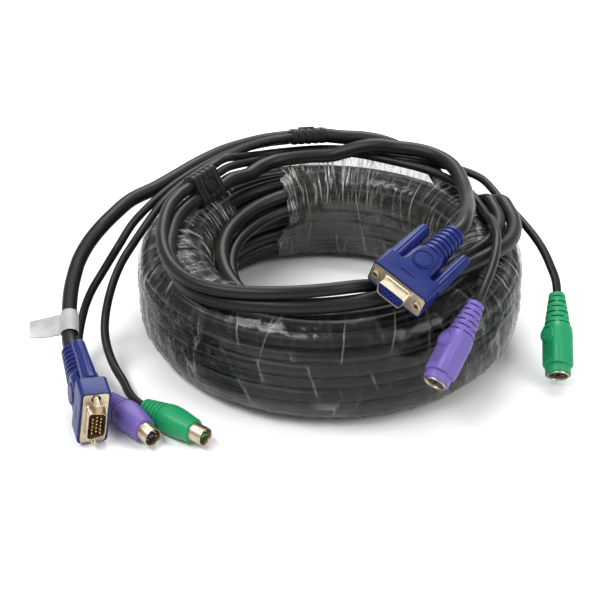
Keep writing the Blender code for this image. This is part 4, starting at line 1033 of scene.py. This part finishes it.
def round_body(front, total, socket):
    """A round connector's moulded body: its grip and ribbed relief, and a socket's collar, boss and lines."""
    whole = bmesh.new()
    grip_end = front + ROUND_GRIP_SHARE * (total - front)
    if socket:
        start = front + 5.0 * MM
        stops = [
            (front, 12.2, 6.1), (front + 0.35 * MM, 13.0, 6.5), (front + 0.8 * MM, 13.3, 6.65),
            (start - 1.5 * MM, 13.3, 6.65), (start - 1.2 * MM, 12.3, 6.15), (start - 0.4 * MM, 12.3, 6.1),
            (start - 0.1 * MM, 13.3, 4.6), (start + 0.8 * MM, 13.6, 4.1), (grip_end - 4 * MM, 13.6, 4.1),
            (grip_end - 1 * MM, 13.5, 4.8), (grip_end + 0.4 * MM, 12.6, 6.1)]
    else:
        stops = [
            (front, 11.2, 5.5), (front + 0.3 * MM, 12.0, 5.9), (front + 0.9 * MM, 12.3, 5.9),
            (front + 3.2 * MM, 12.4, 5.5), (front + 7 * MM, 12.9, 5.0), (front + 12 * MM, 13.6, 4.9),
            (grip_end - 4 * MM, 13.7, 5.0), (grip_end - 1 * MM, 13.3, 5.4), (grip_end + 0.4 * MM, 12.4, 6.0)]
    sections = []
    for setback, width, corner in stops:
        outline = rounded_outline(
            width * MM, (width - 0.15) * MM, min(corner, width / 2 - 0.1) * MM, BODY_CORNER_STEPS)
        sections.append(lifted(outline, -setback))
    if socket:
        bore = rounded_outline(11.3 * MM, 11.3 * MM, 5.6 * MM, BODY_CORNER_STEPS)
        sections = [lifted(bore, -front - 8 * MM), lifted(bore, -front - 0.3 * MM)] + sections
    join_skin(whole, sections)
    ribs, depth, bridges = (6, 1.1 * MM, 4) if socket else (5, 0.5 * MM, 0)
    join_skin(whole, ribbed_relief(-grip_end, -total, 6.75 * MM, 4.2 * MM, ribs, depth, bridges))
    if not socket:
        return whole
    join(whole, round_boss(4.3 * MM, 6.6 * MM, 8.3 * MM), upright_at(ROUND_BOSS_SETBACK))
    for line in range(GRIP_LINES):
        ridge = bmesh.new()
        bmesh.ops.create_cube(ridge, size=1)
        bmesh.ops.scale(ridge, verts=ridge.verts, vec=(6.4 * MM, 0.5 * MM, 0.34 * MM))
        soften(ridge, 0.1 * MM)
        join(whole, ridge, Matrix.Translation((0, 6.72 * MM, (-8.6 - 0.95 * line) * MM)))
    return whole


def add_round_plug(name, plastic, insert):
    """A six-pin round plug's pieces."""
    at = lead_frames()[name]
    body = round_body(ROUND_SHELL_REACH, ROUND_PLUG_TOTAL, False)
    new_piece(name + "_moulding", body, plastic, [name + "_body"], at)
    tube = bmesh.new()
    radius = ROUND_SHELL_RADIUS
    turn_profile(tube, [
        (radius, -10.5 * MM), (radius, -0.25 * MM), (radius - 0.12 * MM, 0), (radius - 0.3 * MM, 0),
        (radius - 0.4 * MM, -0.2 * MM), (radius - 0.4 * MM, -8 * MM)], 64)
    new_piece(name + "_sleeve", tube, "bright_nickel", [name + "_shell"], at)
    core = prism(circle_outline(radius - 0.45 * MM, 48), -10.0 * MM, -5.6 * MM)
    join(core, prism(rounded_outline(2.4 * MM, 1.7 * MM, 0.3 * MM, 3), -6.0 * MM, -1.4 * MM, 0.12 * MM))
    new_piece(name + "_core", core, insert, [name + "_insert"], at)
    contacts = pins(round_contact_places(), 0.42 * MM, -5.8 * MM, -1.4 * MM)
    new_piece(name + "_pins", contacts, "gold_flash", at=at)


def add_round_socket(name, plastic):
    """A six-hole round socket's pieces."""
    at = lead_frames()[name]
    body = round_body(ROUND_SOCKET_FRONT, ROUND_SOCKET_TOTAL, True)
    new_piece(name + "_moulding", body, plastic, [name + "_body"], at)
    tube = bmesh.new()
    radius = RING_RADIUS
    turn_profile(tube, [
        (radius, -2.0 * MM), (radius, -0.2 * MM), (radius - 0.15 * MM, 0), (radius - 0.35 * MM, 0),
        (radius - 0.5 * MM, -0.2 * MM), (radius - 0.5 * MM, -7 * MM)], 64)
    new_piece(name + "_collar", tube, "bright_nickel", [name + "_ring"], at)
    holes = [moved(circle_outline(0.55 * MM, 16), x, y) for x, y in round_contact_places()]
    holes.append(rounded_outline(2.5 * MM, 1.9 * MM, 0.2 * MM, 2))
    core = perforated(circle_outline(3.9 * MM, 48), holes, -0.9 * MM, -6.9 * MM, 4.0 * MM)
    join(core, prism(circle_outline(4.9 * MM, 48), -7.4 * MM, -6.6 * MM))
    new_piece(name + "_core", core, "contact_black", [name + "_insert"], at)


def junction():
    """A flat ribbed moulding where the trunk splits, with a domed boss on its broad face."""
    whole = bmesh.new()
    hull = bmesh.new()
    sections = []
    steps = ((0.0, 0.6), (0.2, 0.6), (0.32, 0.12), (0.45, 0.0), (0.8, 0.0), (0.92, 0.12), (1.0, 0.5))
    for rib in range(5):
        for part, sunk in steps:
            along_x = -10 * MM + 20 * MM * (rib + part) / 5
            drop = sunk * MM + (0.5 * MM if (rib, part) in ((0, 0.0), (4, 1.0)) else 0.0)
            outline = rounded_outline(19 * MM - 2 * drop, 9 * MM - 2 * drop, 3.6 * MM - drop, 8)
            sections.append([(along_x, y, z) for y, z in outline])
    skin(hull, sections)
    join(whole, hull)
    join(whole, round_boss(4.6 * MM, 4.1 * MM, 5.3 * MM))
    return whole


def label_strip():
    """A label folded round the lead: its band, and its two ends stuck together as a curled flag."""
    bm = bmesh.new()
    radius = 4.45 * MM
    path = []
    for step in range(13):
        path.append((radius + 17 * MM * (1 - step / 12), 0.16 * MM, 1 - step / 12))
    for step in range(1, 36):
        angle = math.radians(6 + 348 * step / 36)
        path.append((radius * math.cos(angle), radius * math.sin(angle), 0.0))
    for step in range(13):
        path.append((radius + 17 * MM * step / 12, -0.16 * MM, step / 12))
    rows = []
    for row in range(15):
        share = row / 14
        height = (share - 0.5) * 13 * MM
        verts = []
        for x, y, reach in path:
            curl = reach * reach * (2.3 - 3.4 * share) * MM + math.sin(2.6 * reach) * 0.9 * MM
            verts.append(bm.verts.new((x - 0.6 * MM * reach * reach, y + curl * min(1.0, 3 * reach), height)))
        rows.append([bm.edges.new(pair) for pair in zip(verts, verts[1:])])
    for lower, upper in zip(rows, rows[1:]):
        bmesh.ops.bridge_loops(bm, edges=lower + upper)
    bmesh.ops.recalc_face_normals(bm, faces=bm.faces)
    bmesh.ops.solidify(bm, geom=bm.faces[:], thickness=0.12 * MM)
    return bm


def film_sleeve(settings):
    """The film round the coil: it dips between strands, creases across the coil, and ends ragged."""
    base = section_outline(STRAND_INSET)
    outer = section_outline(0.4)
    deep = section_outline(0.95)
    loop = sum((b - a).length for a, b in zip(base, base[1:] + base[:1]))
    bm = bmesh.new()
    layer = bm.loops.layers.uv.new("wrap")
    gather = bm.verts.layers.float.new("gathered")
    crinkle_glint = bm.verts.layers.float.new("crinkled")
    turned = bm.verts.layers.float.new("turned")
    places = [place_on(base, column / FILM_COLUMNS) for column in range(FILM_COLUMNS)]
    rings = []
    for step in range(FILM_STEPS + 1):
        share = step / FILM_STEPS
        ring = []
        for column, (index, part) in enumerate(places):
            start, end = film_ends(column, base[index])
            degrees = start + (end - start) * share
            travelled = (CHAIN_STARTS - column / FILM_COLUMNS) * loop
            phase = (travelled - PAIR_PITCH * (FIRST_TURN_AT - degrees) / 360) / (PAIR_PITCH / 2)
            dip = math.sin(math.pi * phase) ** 4
            follow = (index + 1) % len(base)
            high = outer[index].lerp(outer[follow], part)
            low = deep[index].lerp(deep[follow], part)
            u = math.radians(degrees) * 1.6
            v = column / FILM_COLUMNS * math.tau
            swirl = Vector((math.cos(v) * 1.1, math.sin(v) * 1.1, u * 9))
            crease = 1 - abs(2.2 * noise.noise(swirl + Vector((4, 1, 0))))
            crease = max(0.0, crease) ** 5 * settings.crease_height / MM
            sag = 0.35 + 0.65 * noise.noise(Vector((math.cos(v) * 1.5, math.sin(v) * 1.5, u * 2.5)))
            point = high.lerp(low, dip * max(0.1, min(1.0, sag + 0.2)))
            spoke = point - SECTION_MIDDLE
            point = point + spoke.normalized() * (crease - 0.1 + film_tent(degrees, spoke))
            vert = bm.verts.new(on_coil(degrees, point.x, point.y))
            vert.co *= MM
            vert[gather] = film_gather(degrees, point, v)
            vert[crinkle_glint] = film_crinkle_glint(degrees, point)
            vert[turned] = math.radians(degrees)
            ring.append(vert)
        rings.append([bm.edges.new(pair) for pair in zip(ring, ring[1:] + ring[:1])])
    for lower, upper in zip(rings, rings[1:]):
        bmesh.ops.bridge_loops(bm, edges=lower + upper)
    bm.verts.index_update()
    for face in bm.faces:
        for corner in face.loops:
            column = corner.vert.index % FILM_COLUMNS
            if column == 0 and any(vert.index % FILM_COLUMNS == FILM_COLUMNS - 1 for vert in face.verts):
                column = FILM_COLUMNS
            across = column / FILM_COLUMNS * FILM_FLAT_SIZE[0]
            corner[layer].uv = (corner.vert[turned] * WRAP_RADIUS, across)
    bmesh.ops.recalc_face_normals(bm, faces=bm.faces)
    return bm


def film_tent(degrees, spoke):
    """How far the film stands off the coil where it passes over the inner turn's strands, in mm."""
    lift = 0.0
    strands = ((VIDEO_SLIPS_IN, 4.0), (DATA_SLIPS_IN, 3.3), (VIDEO_SLIPS_OUT, 4.0), (DATA_SLIPS_OUT, 3.3))
    for places, radius in strands:
        for before, after in zip(places, places[1:]):
            if before[0] <= degrees <= after[0]:
                share = (degrees - before[0]) / (after[0] - before[0])
                strand = Vector(before[1:]).lerp(Vector(after[1:]), share) - SECTION_MIDDLE
                away = spoke.angle(strand)
                need = strand.length + radius + 0.8 - spoke.length
                lift = max(lift, need * math.exp(-(away / 0.42) ** 2))
    return lift


def film_ends(column, place):
    """Angles at which one line of the film starts and ends: ragged, and longest over the top."""
    ragged = noise.noise((column * 0.16, 3.0, 7.0)) * 5 + noise.noise((column * 0.5, 9.0, 7.0)) * 2
    top = smooth_between(place.y, 48, 54) * smooth_between(place.x, 72, 82)
    inner = smooth_between(place.x, 74, 68)
    start = FILM_OPEN_TO - 9 * top + 4 * inner + ragged
    end = 360 + FILM_OPEN_FROM + 6 + 13 * top + 7 * inner + 0.6 * ragged
    return start, end


def film_crinkle_glint(degrees, point):
    """How finely the film is creased, and so how much painted highlight its pale crease lines carry: most
    near its two ends, then at both sides, least at the front.
    """
    beyond = min(abs(degrees - FILM_OPEN_TO), abs(degrees - 360 - FILM_OPEN_FROM))
    near_end = smooth_between(beyond, 62, 12) * smooth_between(point.y, 36, 50)
    side = abs(math.cos(math.radians(degrees))) ** 4
    return min(1.0, near_end + 0.75 * side)


def smooth_between(value, low, high):
    """A smooth step from 0 to 1 between two values, which may fall."""
    share = min(1.0, max(0.0, (value - low) / (high - low)))
    return share * share * (3 - 2 * share)


def film_gather(degrees, point, turn):
    """How much the film is gathered: low on the outside, at both sides, on the inner wall and at its end. The
    band's rise at both sides, where the film is seen edge-on, is painted reflection.
    """
    side = abs(math.cos(math.radians(degrees))) ** 3
    # Painted reflection: the low band reaches higher at the coil's left and right sides, where the film is
    # seen edge-on.
    low = smooth_between(point.y, 22 + 26 * side, 6 + 18 * side) * smooth_between(point.x, 84, 94)
    inner = smooth_between(point.x, 72, 64) * smooth_between(point.y, 58, 44)
    patch = 0.75 + 0.5 * noise.noise(Vector((math.radians(degrees) * 3, turn * 1.5, 2.0)))
    under = smooth_between(point.y, 9, 2)
    end = 0.9 * smooth_between(360 + FILM_OPEN_FROM - degrees, 22, 2) * smooth_between(point.x, 84, 76)
    return min(1.0, max(low, 0.8 * inner, under, end) * patch)


def cord_points():
    """The line of every cord, by the name of the CAD node that it takes over."""
    video_turns = coiled_points(0.0)
    data_turns = coiled_points(PAIR_PITCH / 2)
    rise_video = [on_coil(54, 94.6, 58.2)] + video_turns + [on_coil(32, 88, 44)]
    rise_data = [on_coil(54.5, 100.2, 53.4)] + data_turns + [on_coil(32, 83, 46)]
    video_trunk = PLUG_TAIL_VIDEO_ROUTE + rise_video + SOCKET_TAIL_VIDEO_ROUTE[::-1]
    data_trunk = PLUG_TAIL_DATA_ROUTE + rise_data + SOCKET_TAIL_DATA_ROUTE[::-1]
    inner_video = [on_coil(*VIDEO_SLIPS_IN[2])] + INNER_TURN_VIDEO_ROUTE
    inner_video = inner_video + [on_coil(*VIDEO_SLIPS_OUT[1])]
    inner_data = [on_coil(*DATA_SLIPS_IN[2])] + INNER_TURN_DATA_ROUTE
    inner_data = inner_data + [on_coil(*DATA_SLIPS_OUT[1])]
    return {
        "plug_video_lead": PLUG_VIDEO_ROUTE,
        "plug_keyboard_lead": PLUG_KEYBOARD_ROUTE,
        "plug_mouse_lead": PLUG_MOUSE_ROUTE,
        "socket_video_lead": SOCKET_VIDEO_ROUTE,
        "socket_keyboard_lead": SOCKET_KEYBOARD_ROUTE,
        "socket_mouse_lead": SOCKET_MOUSE_ROUTE,
        "trunk_video_strand": video_trunk,
        "trunk_data_strand": data_trunk,
        "inner_turn_video_strand": inner_video,
        "inner_turn_data_strand": inner_data,
    }


class CABLE_OT_add_cords(bpy.types.Operator):
    """Add the trunk's two wound strands, their loose inner turn and the six leads"""

    bl_idname = "cable.add_cords"
    bl_label = "Strands and leads"

    def execute(self, context):
        coil = context.scene.cable_coil
        diameters = {"video": coil.video_diameter, "data": coil.data_diameter}
        nodes = {
            "trunk_video_strand": ["wound_trunk", "plug_tail_video_strand", "socket_tail_video_strand"],
            "trunk_data_strand": ["wound_trunk", "plug_tail_data_strand", "socket_tail_data_strand"],
        }
        for name, route in cord_points().items():
            diameter = diameters.get(name.split("_")[-2], coil.thin_diameter)
            points = reach_in(smooth_route(route, 4 * MM if "trunk" in name else 2 * MM), CORD_REACH)
            new_cord(name + "_jacket", points, diameter, nodes.get(name, [name]))
        return {"FINISHED"}


class CABLE_OT_add_film(bpy.types.Operator):
    """Add the stretch film round the coil"""

    bl_idname = "cable.add_film"
    bl_label = "Stretch film"

    def execute(self, context):
        sleeve = film_sleeve(context.scene.cable_film)
        piece = new_piece("wrapped_film", sleeve, "film", ["stretch_film"], smooth=180)
        return {"FINISHED"}


class CABLE_OT_add_junctions(bpy.types.Operator):
    """Add the two mouldings where the trunk splits into leads"""

    bl_idname = "cable.add_junctions"
    bl_label = "Junctions"

    def execute(self, context):
        for name, place in JUNCTION_PLACES.items():
            new_piece(name + "_moulding", junction(), "jacket", [name], facing_frame(*place))
        return {"FINISHED"}


class CABLE_OT_add_label(bpy.types.Operator):
    """Add the bare label folded round the plug end's video lead"""

    bl_idname = "cable.add_label"
    bl_label = "Label"

    def execute(self, context):
        at = facing_frame(LABEL_AT, LABEL_RUNS, LABEL_FLAG_SIDE)
        new_piece("folded_label", label_strip(), "label_stock", ["lead_label"], at)
        return {"FINISHED"}


class CABLE_OT_add_video_connectors(bpy.types.Operator):
    """Add the fifteen-pin plug and the fifteen-hole socket"""

    bl_idname = "cable.add_video_connectors"
    bl_label = "Video connectors"

    def execute(self, context):
        add_video_connector("video_plug", {1: "upper", -1: "lower"}, PLUG_SHELL)
        add_video_connector("video_socket", {-1: "left", 1: "right"}, SOCKET_SHELL)
        return {"FINISHED"}


class CABLE_OT_add_round_connectors(bpy.types.Operator):
    """Add the two round plugs and the two round sockets"""

    bl_idname = "cable.add_round_connectors"
    bl_label = "Round connectors"

    def execute(self, context):
        add_round_plug("keyboard_plug", "keyboard_plastic", "keyboard_insert_plastic")
        add_round_plug("mouse_plug", "mouse_plastic", "mouse_plastic")
        add_round_socket("keyboard_socket", "keyboard_plastic")
        add_round_socket("mouse_socket", "mouse_plastic")
        return {"FINISHED"}


class CABLE_OT_declare_cords(bpy.types.Operator):
    """Gather each cord's far end, the pieces on it, its diameter and how it lies; nothing is recorded"""

    bl_idname = "cable.declare_cords"
    bl_label = "Cord facts"

    def execute(self, context):
        pieces = {}
        for prefix in lead_frames():
            pieces[prefix] = [item for item in bpy.data.objects
                              if item.name.startswith(prefix + "_") and item.name not in frame["nodes"]]
        labels = [bpy.data.objects["folded_label"]]
        splits = [bpy.data.objects[name + "_moulding"] for name in JUNCTION_PLACES]
        on_cord = {
            "plug_video_lead": ("connector", pieces["video_plug"] + labels),
            "plug_keyboard_lead": ("connector", pieces["keyboard_plug"]),
            "plug_mouse_lead": ("connector", pieces["mouse_plug"]),
            "socket_video_lead": ("connector", pieces["video_socket"]),
            "socket_keyboard_lead": ("connector", pieces["keyboard_socket"]),
            "socket_mouse_lead": ("connector", pieces["mouse_socket"]),
            "trunk_video_strand": ("object", splits),
            "trunk_data_strand": ("object", []),
            "inner_turn_video_strand": ("object", []),
            "inner_turn_data_strand": ("object", []),
        }
        for name, (far_end, with_pieces) in on_cord.items():
            piece = bpy.data.objects[name + "_jacket"]
            diameter = 2 * piece.data.bevel_depth
            lay = "coiled" if "trunk" in name else "loose"
        return {"FINISHED"}


class CABLE_OT_add_stage(bpy.types.Operator):
    """Add the pale floor, the soft lights and the camera"""

    bl_idname = "cable.add_stage"
    bl_label = "Stage"

    def execute(self, context):
        settings = context.scene.cable_stage
        bm = bmesh.new()
        bmesh.ops.create_circle(bm, cap_ends=True, segments=64, radius=FLOOR_RADIUS)
        mesh = bpy.data.meshes.new("floor")
        bm.to_mesh(mesh)
        bm.free()
        floor = bpy.data.objects.new("floor", mesh)
        paper = Finish("floor_paper", tuple(settings.floor_colour), 0.9, Specular_IOR_Level=0.1)
        mesh.materials.append(paper.material)
        context.collection.objects.link(floor)
        floor.location.z = -FLOOR_GAP
        aim = Vector((0, 0, 0.03))
        for name, place, size, power in LIGHTS:
            light = bpy.data.lights.new(name, "AREA")
            light.shape = "RECTANGLE"
            light.size, light.size_y = size
            light.energy = power
            lamp = bpy.data.objects.new(name, light)
            lamp.location = place
            lamp.rotation_euler = (aim - Vector(place)).to_track_quat("-Z", "Y").to_euler()
            context.collection.objects.link(lamp)
        world = bpy.data.worlds.new("studio")
        world.use_nodes = True
        world.node_tree.nodes["Background"].inputs["Color"].default_value = (1.0, 1.0, 1.0, 1)
        world.node_tree.nodes["Background"].inputs["Strength"].default_value = WORLD_STRENGTH
        context.scene.world = world
        context.scene.view_settings.view_transform = "Standard"
        lens = bpy.data.cameras.new("camera")
        lens.lens = settings.lens
        camera = bpy.data.objects.new("camera", lens)
        camera.location = settings.camera_at
        camera.rotation_euler = (
            Vector(settings.camera_aim) - Vector(settings.camera_at)).to_track_quat("-Z", "Y").to_euler()
        context.collection.objects.link(camera)
        context.scene.camera = camera
        return {"FINISHED"}


class CABLE_PT_panel(bpy.types.Panel):
    """The cable's pieces and settings"""

    bl_idname = "CABLE_PT_panel"
    bl_label = "Coiled cable"
    bl_space_type = "VIEW_3D"
    bl_region_type = "UI"
    bl_category = "Cable"

    def draw(self, context):
        for operator in OPERATORS:
            self.layout.operator(operator.bl_idname)
        for group, kind in SETTINGS.items():
            box = self.layout.box()
            for field in kind.__annotations__:
                box.prop(getattr(context.scene, group), field)


SETTINGS = {
    "cable_coil": CoilSettings,
    "cable_film": FilmSettings,
    "cable_connectors": ConnectorSettings,
    "cable_stage": StageSettings,
}
OPERATORS = (
    CABLE_OT_add_cords, CABLE_OT_add_film, CABLE_OT_add_junctions, CABLE_OT_add_label,
    CABLE_OT_add_video_connectors, CABLE_OT_add_round_connectors, CABLE_OT_declare_cords, CABLE_OT_add_stage,
)


def register():
    """Register the settings, the operators and the panel."""
    for group, kind in SETTINGS.items():
        bpy.utils.register_class(kind)
        setattr(bpy.types.Scene, group, bpy.props.PointerProperty(type=kind))
    for kind in OPERATORS + (CABLE_PT_panel,):
        bpy.utils.register_class(kind)


def unregister():
    """Take everything that register added away again."""
    for kind in reversed(OPERATORS + (CABLE_PT_panel,)):
        bpy.utils.unregister_class(kind)
    for group, kind in SETTINGS.items():
        delattr(bpy.types.Scene, group)
        bpy.utils.unregister_class(kind)


def main():
    """Build the whole scene, piece by piece."""
    register()
    bpy.ops.cable.add_cords()
    bpy.ops.cable.add_film()
    bpy.ops.cable.add_junctions()
    bpy.ops.cable.add_label()
    bpy.ops.cable.add_video_connectors()
    bpy.ops.cable.add_round_connectors()
    bpy.ops.cable.declare_cords()
    bpy.ops.cable.add_stage()


if __name__ == "__main__":
    main()
